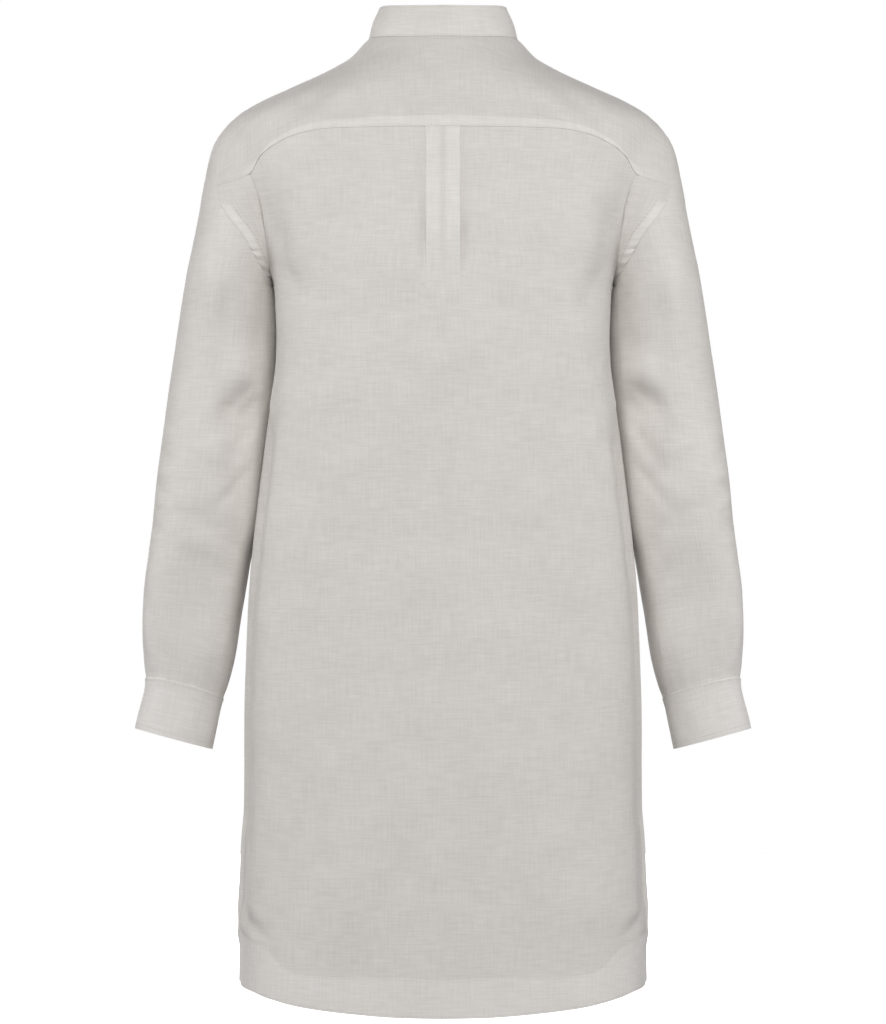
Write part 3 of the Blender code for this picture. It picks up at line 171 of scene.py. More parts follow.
ARM = table(ArmRow, (
    (34, 20.0, 16.0, 0, 1.0, 0, 0), (0, 62.0, 50.0, 0, 3.0, 0, 0),
    (-20, 112.0, 86.0, 1, 8.0, 0, 0), (-45, 160.0, 108.0, 2, 21.0, 0, 0),
    (-56, 187.0, 116.0, 2, 31.0, 0, 0), (-66, 205.0, 121.0, 2, 38.0, 0, 0),
    (-72, 210.5, 124.0, 1.5, 41.5, 0, 0), (-85, 217.1, 127.0, 1, 46.5, 0, 0),
    (-99, 220.9, 129.5, 0, 50.5, 0, 0), (-113, 223.7, 132.5, -1, 53.5, 0, 0),
    (-127, 226.6, 136.0, -2, 55.5, 0, 0), (-141, 228.7, 140.0, -2.5, 57.0, 0, 0),
    (-155, 231.4, 144.5, -3, 58.0, 0, 0), (-170, 234.5, 149.0, -3.5, 58.7, 0, 0),
    (-183, 237.3, 152.8, -4, 59.2, 0, 0), (-197, 240.4, 156.4, -4.5, 59.5, 0, 0),
    (-212, 243.0, 158.8, -5, 59.8, 0, 0), (-225, 245.3, 158.0, -7, 60.0, 0, 0),
    (-245, 248.7, 156.8, -11, 59.5, 0, 0), (-267, 252.2, 156.4, -15, 59.0, 0, 0),
    (-310, 259.0, 158.0, -19, 57.5, 0, 0), (-352, 264.7, 162.5, -20, 56.0, 0, 0),
    (-395, 270.4, 168.5, -21, 54.5, 0, 0), (-437, 274.4, 175.0, -23, 53.0, 0.01, 0.01),
    (-466, 278.4, 183.0, -26, 50.5, 0.03, 0.03), (-508, 283.7, 190.3, -33, 46.0, 0.09, 0.07),
    (-551, 285.3, 197.0, -41, 42.0, 0.17, 0.12), (-580, 284.0, 204.8, -47.5, 38.8, 0.23, 0.155),
    (-594, 282.5, 210.1, -51, 37.0, 0.25, 0.17), (-641.5, 293.6, 220.9, -60.5, 37.5, 0.27, 0.06),
))

ARMHOLE_BACK = table(ArmholeRow, (
    (0, -66), (22, -72), (35, -91), (42, -107), (54, -134), (67, -146), (94, -166), (127, -192),
    (147, -204), (180, -212),
))

ARMHOLE_FRONT = table(ArmholeRow, (
    (0, -66), (20, -71), (34, -88), (45, -106), (59, -133), (73, -148), (100, -169),
    (131, -194), (150, -205), (180, -212),
))

YOKE_SEAM = table(EdgeRow, (
    (0.00, -72.0), (0.45, -73.2), (0.585, -77.9), (0.69, -87.0), (0.765, -95.8), (0.86, -112.0),
    (1.00, -122.0),
))

HEM_BAND_TOP = table(EdgeRow, (
    (0.00, -849.8), (0.20, -846.3), (0.46, -846.8), (0.50, -845.9), (0.55, -841.3),
    (0.60, -831.6), (0.64, -825.0), (0.71, -821.2), (0.80, -818.6), (1.00, -817.8),
))

HEM = table(EdgeRow, (
    (0.00, -883.9), (0.14, -883.1), (0.31, -880.3), (0.49, -876.1), (0.62, -871.2),
    (0.74, -867.0), (1.00, -865.8),
))

BLEND = table(BlendRow, (
    (-20, 1.5), (-66, 1.5), (-85, 3.0), (-114, 5.0), (-150, 4.5), (-190, 2.2), (-208, 1.0),
    (-212, 0.7),
))

# The largest folds of the body, which the solids have too. A place is a share of the way from
# the centre to the side
BACK_FOLDS = table(Fold, (
    (0.80, -122, 0.44, -268, 17, -2.2, 9), (0.66, -112, 0.38, -330, 20, 1.4, 8),
    (0.88, -232, 0.64, -352, 15, -1.8, 6), (0.00, -262, 0.00, -640, 17, -1.5, 0),
    (0.42, -420, 0.45, -812, 23, -1.7, 5), (0.64, -470, 0.68, -800, 21, 1.5, -5),
    (0.24, -560, 0.27, -828, 18, 1.2, -3),
))

FRONT_FOLDS = table(Fold, (
    (0.80, -126, 0.46, -252, 17, -2.2, 8), (0.64, -112, 0.34, -280, 19, 1.4, 8),
    (0.88, -232, 0.62, -340, 15, -1.8, 6), (0.30, -100, 0.31, -330, 17, -1.4, -8),
    (0.42, -340, 0.40, -660, 21, -1.5, 5), (0.62, -440, 0.67, -790, 20, 1.4, 4),
))

# Finer creases of the cloth alone, negative shares on the wearer's right
BACK_CREASES = table(Fold, (
    (0.125, -94, 0.115, -330, 6.5, 0.9, -3), (-0.125, -94, -0.12, -318, 6.5, 0.9, 3),
    (0.08, -300, 0.06, -560, 11, 0.5, 0), (-0.09, -290, -0.07, -600, 11, 0.5, 0),
    (0.74, -150, 0.52, -236, 9, -0.8, 5), (-0.72, -158, -0.50, -258, 10, -0.7, -6),
    (0.86, -262, 0.72, -318, 9, 0.8, 3), (-0.88, -256, -0.70, -330, 9, 0.8, -3),
    (0.33, -560, 0.36, -838, 13, 0.6, -3), (-0.31, -590, -0.34, -835, 12, 0.6, 3),
    (0.56, -600, 0.60, -842, 13, -0.7, 3), (-0.55, -630, -0.61, -842, 12, -0.7, -3),
    (0.78, -500, 0.80, -780, 11, 0.7, -4), (-0.77, -520, -0.80, -800, 12, 0.7, 4),
    (0.13, -690, 0.15, -845, 12, -0.6, 0), (-0.11, -700, -0.14, -846, 12, -0.6, 0),
    (0.92, -786, 0.60, -819, 6.5, -2.2, 0), (-0.92, -788, -0.61, -818, 6.5, -2.0, 0),
    (0.95, -684, 0.82, -744, 8, -1.8, 0), (-0.94, -690, -0.83, -750, 8, -1.6, 0),
))

FRONT_CREASES = table(Fold, (
    (0.72, -160, 0.50, -240, 9, -0.8, 5), (0.86, -258, 0.70, -322, 9, 0.8, 4),
    (0.24, -420, 0.26, -800, 14, 0.8, -3), (0.52, -600, 0.56, -840, 13, -0.8, 4),
    (0.84, -520, 0.86, -780, 12, -0.7, 2), (0.34, -650, 0.32, -844, 12, 0.7, 3),
))

# Folds of the yoke, as distances from the centre
YOKE_FOLDS = table(Fold, (
    (78, -28, 128, -70, 7, 1.3, 3), (106, -36, 156, -82, 8, -1.2, 4),
    (58, -34, 98, -68, 9, -0.9, 3),
))

# Folds of a sleeve, as degrees round the arm: 0 is the outside, 90 the back, 180 the inside
SLEEVE_FOLDS = table(Fold, (
    (58, -172, 84, -320, 10, 1.6, 5), (98, -206, 80, -320, 10, -1.6, -4),
    (128, -232, 104, -318, 8, 1.2, -3), (92, -286, 170, -298, 14, 3.8, 3),
    (84, -328, 170, -342, 15, -7.6, 4), (142, -196, 150, -284, 9, -3.4, 0),
    (94, -316, 158, -352, 6, 1.4, 4), (78, -344, 146, -376, 8, -1.6, 5),
    (100, -354, 156, -386, 5, 1.5, 3), (70, -364, 124, -400, 5, -1.4, -3),
    (150, -300, 104, -348, 4.5, 1.3, -3), (148, -332, 100, -384, 4.5, -1.3, -3),
    (142, -354, 94, -412, 4.5, 1.2, 3), (128, -380, 86, -432, 5, -1.1, 3),
    (86, -332, 98, -424, 8, 1.6, 4), (10, -350, 60, -359, 4, 1.2, 2),
    (8, -366, 54, -377, 4, -1.2, 2), (12, -382, 68, -391, 4, 1.3, -2),
    (8, -399, 52, -408, 4, -1.2, 2), (14, -415, 66, -424, 4, 1.2, 2),
    (6, -432, 50, -441, 4, -1.0, -2), (10, -449, 60, -456, 4, 0.9, 2),
    (8, -468, 44, -475, 4, -0.8, 2), (52, -420, 116, -452, 8, -1.7, 5),
    (70, -446, 130, -480, 8, 1.5, 4), (96, -486, 142, -516, 6, 0.9, 3),
    (40, -446, 38, -592, 17, 1.6, 0), (136, -452, 136, -592, 16, 3.2, 0),
    (34, -500, 66, -584, 9, -0.9, -3), (98, -516, 112, -584, 9, 0.9, 3),
    (20, -540, 30, -590, 5, -0.8, 0), (132, -540, 146, -590, 5, 0.8, 0),
    (-42, -180, -64, -330, 10, 1.5, -4), (-74, -200, -94, -350, 10, -1.5, 4),
    (-36, -352, -112, -404, 8, 2.0, -5), (-52, -380, -124, -430, 8, -2.2, -5),
    (-60, -416, -136, -452, 5, 1.3, 4), (-12, -432, -82, -446, 4.5, -1.0, 3),
    (-22, -462, -96, -480, 4.5, 1.0, 2), (-90, -510, -110, -588, 7, 0.9, 0),
    (-30, -520, -54, -586, 8, -1.1, 0), (176, -300, 168, -420, 9, -0.9, 0),
))

FOLD_REACH = 225.0          # millimetres of cloth from the centre to the side, for the folds' shape
FOLD_TURN = 0.82            # millimetres in one degree round the sleeve
NO_EDGE = 500.0             # the distance to an edge that isn't there
SEAM_GAP = 0.1              # millimetres that an edge keeps from the seam line
CHART_BLOCK = 4000          # points worked out at once
WEAVE_TURNED = np.array([-1.0, 1.0])
CLOTH_SMOOTH, BUTTON_SMOOTH = math.radians(50), math.radians(35)


# -------- curves

class Column:
    """A smooth curve through one column of a table, without overshoot between its rows."""

    def __init__(self, rows: Sequence[NamedTuple], key: str, value: str) -> None:
        """Fit the curve.

        Args:
            rows: The table.
            key: Name of the column that the curve is read by.
            value: Name of the column that it gives.
        """
        pairs = sorted((getattr(row, key), getattr(row, value)) for row in rows)
        self.at = np.array([pair[0] for pair in pairs], float)
        self.value = np.array([pair[1] for pair in pairs], float)
        step = np.diff(self.at)
        rate = np.diff(self.value) / step
        slope = np.zeros_like(self.value)
        for i in range(1, len(rate)):
            if rate[i - 1] * rate[i] > 0:
                before = 2 * step[i] + step[i - 1]
                after = step[i] + 2 * step[i - 1]
                slope[i] = (before + after) / (before / rate[i - 1] + after / rate[i])
        slope[0], slope[-1] = rate[0], rate[-1]
        self.slope = slope

    def __call__(self, at: Array | float) -> Array:
        """Read the curve, held level past its ends."""
        at = np.clip(np.asarray(at, float), self.at[0], self.at[-1])
        i = np.clip(np.searchsorted(self.at, at) - 1, 0, len(self.at) - 2)
        width = self.at[i + 1] - self.at[i]
        t = (at - self.at[i]) / width
        start = self.value[i] * (1 + 2 * t) * (1 - t) ** 2
        end = self.value[i + 1] * t * t * (3 - 2 * t)
        bend = self.slope[i] * width * t * (1 - t) ** 2 - self.slope[i + 1] * width * t * t * (1 - t)
        return start + end + bend


def columns(rows: Sequence[NamedTuple], key: str) -> dict[str, Column]:
    """Every column of a table but its key, as smooth curves."""
    return {name: Column(rows, key, name) for name in rows[0]._fields if name != key}


def smooth_step(value: Array | float) -> Array:
    """0 below 0, 1 above 1, and a smooth ramp between."""
    value = np.clip(value, 0.0, 1.0)
    return value * value * (3 - 2 * value)


def ramp(value: Array | float, start: float, stop: float) -> Array:
    """0 up to the start, 1 from the stop on, and smooth between; the stop may be the lower one."""
    return smooth_step((value - start) / (stop - start))


class Span(NamedTuple):
    """A stretch of heights that comes in and goes out softly, from the top down."""

    start: float
    full: float
    full_to: float
    stop: float

    def share(self, z: Array) -> Array:
        """1 within the stretch and 0 outside it."""
        return ramp(z, self.start, self.full) * ramp(z, self.stop, self.full_to)


def run_length(path: Array, axis: int = 0) -> Array:
    """Distance from the first point along a path, or along every line of a grid."""
    step = np.cumsum(np.linalg.norm(np.diff(path, axis=axis), axis=-1), axis=axis)
    return np.concatenate([np.zeros_like(np.take(step, [0], axis=axis)), step], axis=axis)


def joined(right: Array, left: Array) -> Array:
    """Two halves side by side, each given from the centre line outwards, which they share."""
    return np.concatenate([right[:, :0:-1], left], axis=1)


def spaced(path: Array, count: int) -> Array:
    """Points at even distances along a fine path.

    Args:
        path: Points of the path.
        count: How many points to give.

    Returns:
        The points, with both ends of the path.
    """
    length = run_length(path)
    wanted = np.linspace(0, 1, count) * length[-1]
    return np.stack([np.interp(wanted, length, path[:, axis]) for axis in range(3)], axis=-1)


def mirrored(points: Array) -> Array:
    """The same points on the other side of the body."""
    return points * np.array([-1.0, 1.0, 1.0])


def relief(folds: Sequence[Fold], at: Array, z: Array, scale: float) -> Array:
    """Height of the folds over the plain form.

    Args:
        folds: The table of folds.
        at: Place across the piece, in the table's own measure.
        z: Height of each point.
        scale: Millimetres in one step of that measure.

    Returns:
        The height at each point, in millimetres.
    """
    total = np.zeros(np.broadcast(at, z).shape)
    for fold in folds:
        start = np.array([fold.at * scale, fold.z])
        way = np.array([fold.to_at * scale, fold.to_z]) - start
        length = float(np.hypot(*way))
        along = ((at * scale - start[0]) * way[0] + (z - start[1]) * way[1]) / length ** 2
        across = ((at * scale - start[0]) * -way[1] + (z - start[1]) * way[0]) / length
        inside = np.clip(along, 0, 1)
        off = (across - fold.bow * 4 * inside * (1 - inside)) / fold.width
        ends = smooth_step(along / 0.32) * ramp(along, 1, 0.62)
        wave = np.exp(-off ** 2) - 0.38 * np.exp(-(off - 1.9) ** 2) - 0.22 * np.exp(-(off + 2.1) ** 2)
        total += fold.height * ends * wave
    return total


def body_relief(place: Array, z: Array, folds: Sequence[Fold], creases: Sequence[Fold]) -> Array:
    """Height of a body panel's folds, which leave its seams and its lower band flat.

    Args:
        place: Signed share of the way from the centre to the side.
        z: Height of each point.
        folds: Large folds, the same on both sides of the body.
        creases: Finer ones, each on its own side.

    Returns:
        The height at each point, in millimetres.
    """
    share = np.abs(place)
    flat = ramp(share, 0.95, 0.85) * ramp(z, -842, -816)
    return (relief(folds, share, z, FOLD_REACH) + relief(creases, place, z, FOLD_REACH)) * flat


# -------- the form

class Face(Enum):
    """The two faces of the body."""

    BACK = 1
    FRONT = -1


class Side(Enum):
    """The wearer's two sides."""

    LEFT = 1
    RIGHT = -1


@dataclass
class ShirtForm:
    """The form that the cloth lies on, and the seam lines on it."""

    shoulder_z: float = -66.0
    underarm_z: float = -212.0
    patch_z: float = -150.0
    slit_z: float = -757.0
    sleeve_clear: float = 1.4
    crease_share: float = 0.86
    crease_span: Span = Span(-76, -110, -194, -210)
    neck_middle_y: float = -6.0
    neck_half_width: float = 70.6
    neck_half_depth: float = 66.0
    near_places: int = 150             # places of a section up to its widest, past it, on the arm
    lap_places: int = 70
    limb_places: int = 50
    lap_length: float = 70.0
    lowest_level: float = -812.0       # lowest level row of the panels, above the hem bands
    slit_out: float = 3.6              # how far the slits' back edge stands out, less over the band
    slit_out_band: float = 1.8
    slit_in: float = 2.0
    slit_apart: float = 1.5            # backwards and forwards
    torso: dict[str, Column] = field(default_factory=lambda: columns(TORSO, "z"))
    arm: dict[str, Column] = field(default_factory=lambda: columns(ARM, "z"))
    blend: Column = field(default_factory=lambda: Column(BLEND, "z", "radius"))
    yoke_seam_z: Column = field(default_factory=lambda: Column(YOKE_SEAM, "share", "z"))
    band_top_z: Column = field(default_factory=lambda: Column(HEM_BAND_TOP, "share", "z"))
    hem_z: Column = field(default_factory=lambda: Column(HEM, "share", "z"))

    def __post_init__(self) -> None:
        """Prepare the armhole curves and the inner side of the hanging sleeve."""
        self.armhole_z = {
            Face.BACK: Column(ARMHOLE_BACK, "angle", "z"),
            Face.FRONT: Column(ARMHOLE_FRONT, "angle", "z"),
        }
        self.inner_at = np.arange(-680.0, self.underarm_z + 0.1, 1.0)
        self.inner_x = self._hanging_inner(self.inner_at)

    def _torso_half(self, z: Array, y: Array) -> tuple[Array, Array, Array]:
        """How far past the widest place a depth is, and the half depth and power of that half."""
        torso, widest = self.torso, self.torso["widest_y"](z)
        past = y - widest
        depth = np.where(past > 0, torso["back_y"](z) - widest, widest - torso["front_y"](z))
        power = np.where(past > 0, torso["back_square"](z), torso["front_square"](z))
        return past, depth, power

    def _torso_side(self, z: Array, y: Array) -> Array:
        """Half width of the torso at a height and depth."""
        past, depth, power = self._torso_half(z, y)
        share = np.clip(np.abs(past) / depth, 0, 1)
        return self.torso["half_width"](z) * (1 - share ** power) ** (1 / power)

    def _hanging_inner(self, z: Array) -> Array:
        """Inner side of the sleeve below the armhole, kept just clear of the body's side."""
        inner, outer = self.arm["inner"](z), self.arm["outer"](z)
        reach = np.linspace(-42, 42, 43)       # round the arm's inner side, from front to back
        y = self.arm["middle_y"](z)[:, None] + reach
        side = self._torso_side(np.broadcast_to(z[:, None], y.shape), y) + self.sleeve_clear
        share = np.clip(reach / self.arm["half_depth"](z)[:, None], -0.95, 0.95)
        for _ in range(8):
            middle, half = (inner + outer) / 2, (outer - inner) / 2
            wall = middle[:, None] - half[:, None] * np.sqrt(1 - share ** 2)
            inner = inner + np.maximum(0, (side - wall).max(axis=1))
        return inner

    def arm_section(self, z: Array) -> tuple[Array, Array, Array, Array]:
        """Middle and half sizes of the arm's section at a height.

        Args:
            z: Heights.

        Returns:
            Middle x, middle y, half width and half depth.
        """
        z = np.asarray(z, float)
        outer = self.arm["outer"](z)
        hanging = np.interp(z, self.inner_at, self.inner_x)
        inner = np.where(z < self.underarm_z, hanging, self.arm["inner"](z))
        middle_y, half_depth = self.arm["middle_y"](z), self.arm["half_depth"](z)
        return (outer + inner) / 2, middle_y, (outer - inner) / 2, half_depth

    def torso_gap(self, point: Array) -> Array:
        """About how far a point lies outside the torso."""
        x, y, z = np.abs(point[..., 0]), point[..., 1], point[..., 2]
        past, depth, power = self._torso_half(z, y)
        wide = x / self.torso["half_width"](z)
        size = (wide ** power + (np.abs(past) / depth) ** power) ** (1 / power)
        return np.hypot(x, past) * (size - 1) / np.maximum(size, 1e-6)

    def arm_gap(self, point: Array) -> Array:
        """About how far a point lies outside the arm."""
        x, y, z = np.abs(point[..., 0]), point[..., 1], point[..., 2]
        middle_x, middle_y, half_width, half_depth = self.arm_section(z)
        size = np.hypot((x - middle_x) / half_width, (y - middle_y) / half_depth)
        return np.hypot(x - middle_x, y - middle_y) * (size - 1) / np.maximum(size, 1e-6)

    def form_gap(self, point: Array) -> Array:
        """About how far a point lies outside torso and arm, joined softly."""
        radius = self.blend(point[..., 2])
        body = self.torso_gap(point) / radius
        limb = self.arm_gap(point) / radius
        least = np.minimum(body, limb)
        return radius * (least - np.log(np.exp(least - body) + np.exp(least - limb)))

    @staticmethod
    def slope_of(gap: Callable[[Array], Array], point: Array, step: float = 0.05) -> Array:
        """Gradient of a gap function."""
        parts = []
        for axis in range(3):
            shift = np.zeros(3)
            shift[axis] = step
            parts.append((gap(point + shift) - gap(point - shift)) / (2 * step))
        return np.stack(parts, axis=-1)

    def settle(self, point: Array, rounds: int = 7) -> Array:
        """Move points onto the form along its slope."""
        for _ in range(rounds):
            slope = self.slope_of(self.form_gap, point)
            size = np.maximum((slope ** 2).sum(axis=-1), 0.05)
            point = point - slope * (self.form_gap(point) / size)[..., None]
        return point

    def outward(self, point: Array, gap: Callable[[Array], Array] | None = None) -> Array:
        """Unit directions out of the form."""
        slope = self.slope_of(gap or self.form_gap, point)
        return slope / np.maximum(np.linalg.norm(slope, axis=-1), 1e-9)[..., None]

    def body_normal(self, point: Array) -> Array:
        """Outward directions on the body panels."""
        joined = self.outward(point)
        plain = self.outward(point, self.torso_gap)
        return np.where((point[..., 2] > self.underarm_z)[..., None], joined, plain)

    def armhole_angle(self, z: Array, face: Face) -> Array:
        """Angle round the arm, in radians, at which the armhole seam crosses a height."""
        angles = np.linspace(0, 180, 721)
        return np.radians(np.interp(-np.asarray(z, float), -self.armhole_z[face](angles), angles))

    def armhole_point(self, angle: Array, face: Face) -> Array:
        """Points on the left armhole seam: degrees round the arm from the outside."""
        angle = np.asarray(angle, float)
        z = self.armhole_z[face](angle)
        middle_x, middle_y, half_width, half_depth = self.arm_section(z)
        turn = np.radians(angle)
        flat = np.stack([middle_x + half_width * np.cos(turn),
                         middle_y + face.value * half_depth * np.sin(turn), z], -1)
        return self.settle(flat, rounds=3)

    def neck_point(self, angle: Array | float) -> Array:
        """Points on the neck seam: degrees from the centre back towards the left side."""
        angle = np.radians(np.asarray(angle, float))
        x = self.neck_half_width * np.sin(angle)
        y = self.neck_middle_y + self.neck_half_depth * np.cos(angle)
        low, high = np.full(x.shape, -110.0), np.full(x.shape, 33.0)
        for _ in range(40):
            middle = (low + high) / 2
            outside = self.form_gap(np.stack([x, y, middle], axis=-1)) > 0
            low, high = np.where(outside, low, middle), np.where(outside, middle, high)
        return np.stack([x, y, (low + high) / 2], axis=-1)

    def _torso_path(self, z: Array, face: Face) -> tuple[Array, Array]:
        """Half the torso's section, from the centre line to past its widest place.

        Args:
            z: Heights, as a column.
            face: Which half of the body.

        Returns:
            Distance to the side and depth of each place, outwards from the body's middle.
        """
        sign, torso = face.value, self.torso
        names = (("back_y", "back_square"), ("front_y", "front_square"))[::sign]
        (near_y, near_power), (far_y, far_power) = ((torso[y](z), torso[power](z)) for y, power in names)
        half, widest = torso["half_width"](z), sign * torso["widest_y"](z)
        near, far = sign * near_y - widest, widest - sign * far_y
        turn = np.linspace(0, math.pi / 2, self.near_places)
        x = half * np.sin(turn) ** (2 / near_power)
        y = widest + near * np.abs(np.cos(turn)) ** (2 / near_power)
        x[:, -1:], y[:, -1:] = half, widest
        down = np.linspace(0, self.lap_length, self.lap_places + 1)[1:] / far
        x = np.concatenate([x, half * (1 - down ** far_power) ** (1 / far_power)], axis=1)
        return x, np.concatenate([y, widest - down * far], axis=1)

    def _panel_stop(self, z: Array, x: Array, y: Array, size: Array, face: Face) -> Array:
        """Place on the torso's section where a panel leaves it, for the arm or at the side seam.

        Args:
            z: Heights, as a column.
            x: Distance to the side of each place of the section.
            y: Its depth.
            size: How far outside the arm it lies, as a share of the arm's size.
            face: Which half of the body.

        Returns:
            The place at each height, between whole places too.
        """
        rows = np.arange(len(z))
        inside = size < 0
        touching = inside.any(axis=1)
        first = np.where(touching, inside.argmax(axis=1), size.argmin(axis=1))
        before = np.maximum(first - 1, 0)
        fall = size[rows, before] - size[rows, first]
        part = np.where(touching & (fall > 1e-9), size[rows, before] / np.maximum(fall, 1e-9), 1.0)
        at_arm = before + np.clip(part, 0, 1)
        seam = face.value * self.torso["seam_y"](z)
        cross = np.maximum((y < seam).argmax(axis=1), 1)
        drop = np.maximum(y[rows, cross - 1] - y[rows, cross], 1e-9)
        at_seam = cross - 1 + (y[rows, cross - 1] - seam[:, 0]) / drop
        lower = np.where(z <= self.underarm_z, at_seam[:, None], at_arm[:, None])
        return np.where(z >= self.shoulder_z, self.near_places - 1.0, lower)

    def section_path(self, z: Array, face: Face) -> tuple[Array, int]:
        """Points of half the section at each height, from the centre line to the panel's side.

        Args:
            z: Heights.
            face: Which half of the body.

        Returns:
            The points, heights by places by x and y, and the place of the crease.
        """
        z = z[:, None]
        x, y = self._torso_path(z, face)
        middle_x, middle_y, half_width, half_depth = self.arm_section(z)
        middle_y = face.value * middle_y
        size = np.hypot((x - middle_x) / half_width, (y - middle_y) / half_depth) - 1
        place = self._panel_stop(z, x, y, size, face) * np.linspace(0, 1, x.shape[1])
        low = np.clip(place.astype(int), 0, x.shape[1] - 2)
        rest = place - low
        torso_x, torso_y = (np.take_along_axis(v, low, 1) * (1 - rest)
                            + np.take_along_axis(v, low + 1, 1) * rest for v in (x, y))
        end_x, end_y = torso_x[:, -1:], torso_y[:, -1:]
        start = np.arctan2((end_y - middle_y) / half_depth, (end_x - middle_x) / half_width)
        start = np.where(start < 0, start + math.tau, start)
        finish = self.armhole_angle(np.clip(z, self.underarm_z, self.shoulder_z), face)
        angle = start + (finish - start) * np.linspace(0, 1, self.limb_places + 1)[1:]
        plain = (z >= self.shoulder_z) | (z <= self.underarm_z)
        arm_x = np.where(plain, end_x, middle_x + half_width * np.cos(angle))
        arm_y = np.where(plain, end_y, middle_y + half_depth * np.sin(angle))
        path = np.stack([np.concatenate([torso_x, arm_x], axis=1),
                         face.value * np.concatenate([torso_y, arm_y], axis=1)], axis=-1)
        return path, x.shape[1] - 1

    def chart(self, z: Array, share: Array, along: Array | float = 0.0,
              face: Face = Face.BACK) -> tuple[Array, Array]:
        """Points on a body panel.

        Args:
            z: Heights.
            share: Shares of the way from the centre to the side, negative on the right.
            along: Millimetres more along the section.
            face: Back or front.

        Returns:
            The points, and how far each lies from the centre line along the cloth.
        """
        z, share, along = np.broadcast_arrays(np.asarray(z, float), share, along)
        shape = z.shape
        z, share, along = z.ravel(), np.asarray(share, float).ravel(), np.asarray(along, float).ravel()
        point, reach = np.empty((len(z), 3)), np.empty(len(z))
        for first in range(0, len(z), CHART_BLOCK):
            part = slice(first, first + CHART_BLOCK)
            point[part], reach[part] = self._chart_part(z[part], share[part], along[part], face)
        upper = z > self.underarm_z
        if upper.any():
            point[upper] = self.settle(point[upper], rounds=3)
        return point.reshape(shape + (3,)), reach.reshape(shape)

    def _chart_part(self, z: Array, share: Array, along: Array, face: Face) -> tuple[Array, Array]:
        """The chart of a few thousand points."""
        level, which = np.unique(z, return_inverse=True)
        path, crease = self.section_path(level, face)
        path, length = path[which], run_length(path, axis=1)[which]
        total = length[:, -1]
        follow = self.crease_span.share(z)
        at_crease = self.crease_share
        crease_at = length[:, crease] * follow + at_crease * total * (1 - follow)
        size = np.abs(share)
        outer = crease_at + (size - at_crease) / (1 - at_crease) * (total - crease_at)
        wanted = np.where(size < at_crease, size / at_crease * crease_at, outer)
        wanted = np.where(share < 0, -1.0, 1.0) * wanted + along
        side = np.where(wanted < 0, -1.0, 1.0)
        reach = wanted
        wanted = np.clip(np.abs(wanted), 0, total)
        low = np.clip((length <= wanted[:, None]).sum(axis=1) - 1, 0, length.shape[1] - 2)
        rows = np.arange(len(z))
        width = np.maximum(length[rows, low + 1] - length[rows, low], 1e-9)
        rest = np.clip((wanted - length[rows, low]) / width, 0, 1)[:, None]
        flat = path[rows, low] * (1 - rest) + path[rows, low + 1] * rest
        return np.column_stack([side * flat[:, 0], flat[:, 1], z]), reach

    def slit_edge(self, point: Array, share: Array, face: Face) -> Array:
        """Open the side slits: the back edge stands out a little, the front lies inside it."""
        z = point[..., 2]
        opening = smooth_step((self.slit_z - z) / 70)
        near_edge = ramp(np.abs(share), 0.94, 1.0)
        shift = np.zeros_like(point)
        side = np.sign(point[..., 0])
        if face is Face.BACK:
            band = ramp(z, -822, -834)
            shift[..., 0] = side * near_edge * opening * (self.slit_out - self.slit_out_band * band)
        else:
            shift[..., 0] = -side * near_edge * opening * self.slit_in
        shift[..., 1] = face.value * near_edge * opening * self.slit_apart
        return point + shift

    def ring_at(self, z: Array, angle: Array, square: Array | float = 0.0) -> Array:
        """Points round the left arm's tilted section.

        Args:
            z: Height of each point.
            angle: Angle round the section, in radians.
            square: How much squarer than an ellipse the section is.

        Returns:
            The points.
        """
        middle_x, middle_y, half_width, half_depth = self.arm_section(z)
        power = 2 / (2 + square)
        x = half_width * np.sign(np.cos(angle)) * np.abs(np.cos(angle)) ** power
        y = half_depth * np.sign(np.sin(angle)) * np.abs(np.sin(angle)) ** power
        lift = self.arm["rise_out"](z) * x + self.arm["rise_back"](z) * y
        return np.stack([middle_x + x, middle_y + y, z + lift], axis=-1)


# -------- finishes

def linear(code: str) -> tuple[float, float, float, float]:
    """An sRGB hex value as the linear colour that shaders use."""
    parts = [int(code[i:i + 2], 16) / 255 for i in (1, 3, 5)]
    red, green, blue = (p / 12.92 if p <= 0.04045 else ((p + 0.055) / 1.055) ** 2.4 for p in parts)
    return red, green, blue, 1.0


def add(tree: bpy.types.NodeTree, kind: str, links: dict | None = None, **settings) -> bpy.types.Node:
    """Add a node with its settings and links.

    Args:
        tree: Node tree to add it to.
        kind: The node's type name.
        links: Socket name or number to the socket or value that it takes.
        **settings: Properties of the node.

    Returns:
        The node.
    """
    node = tree.nodes.new(kind)
    for name, value in settings.items():
        setattr(node, name, value)
    for name, value in (links or {}).items():
        if isinstance(value, bpy.types.NodeSocket):
            tree.links.new(value, node.inputs[name])
        else:
            node.inputs[name].default_value = value
    return node


def maths(tree: bpy.types.NodeTree, operation: str,
          *values: bpy.types.NodeSocket | float) -> bpy.types.NodeSocket:
    """Add a math node for some sockets and values, and give its result."""
    return add(tree, "ShaderNodeMath", dict(enumerate(values)), operation=operation).outputs[0]


def new_material(name: str, roughness: float) -> tuple[bpy.types.Material, bpy.types.Node]:
    """Make a material with nodes, and give it with its shader."""
    made = bpy.data.materials.new(name)
    made.use_nodes = True
    shader = made.node_tree.nodes["Principled BSDF"]
    shader.inputs["Roughness"].default_value = roughness
    return made, shader


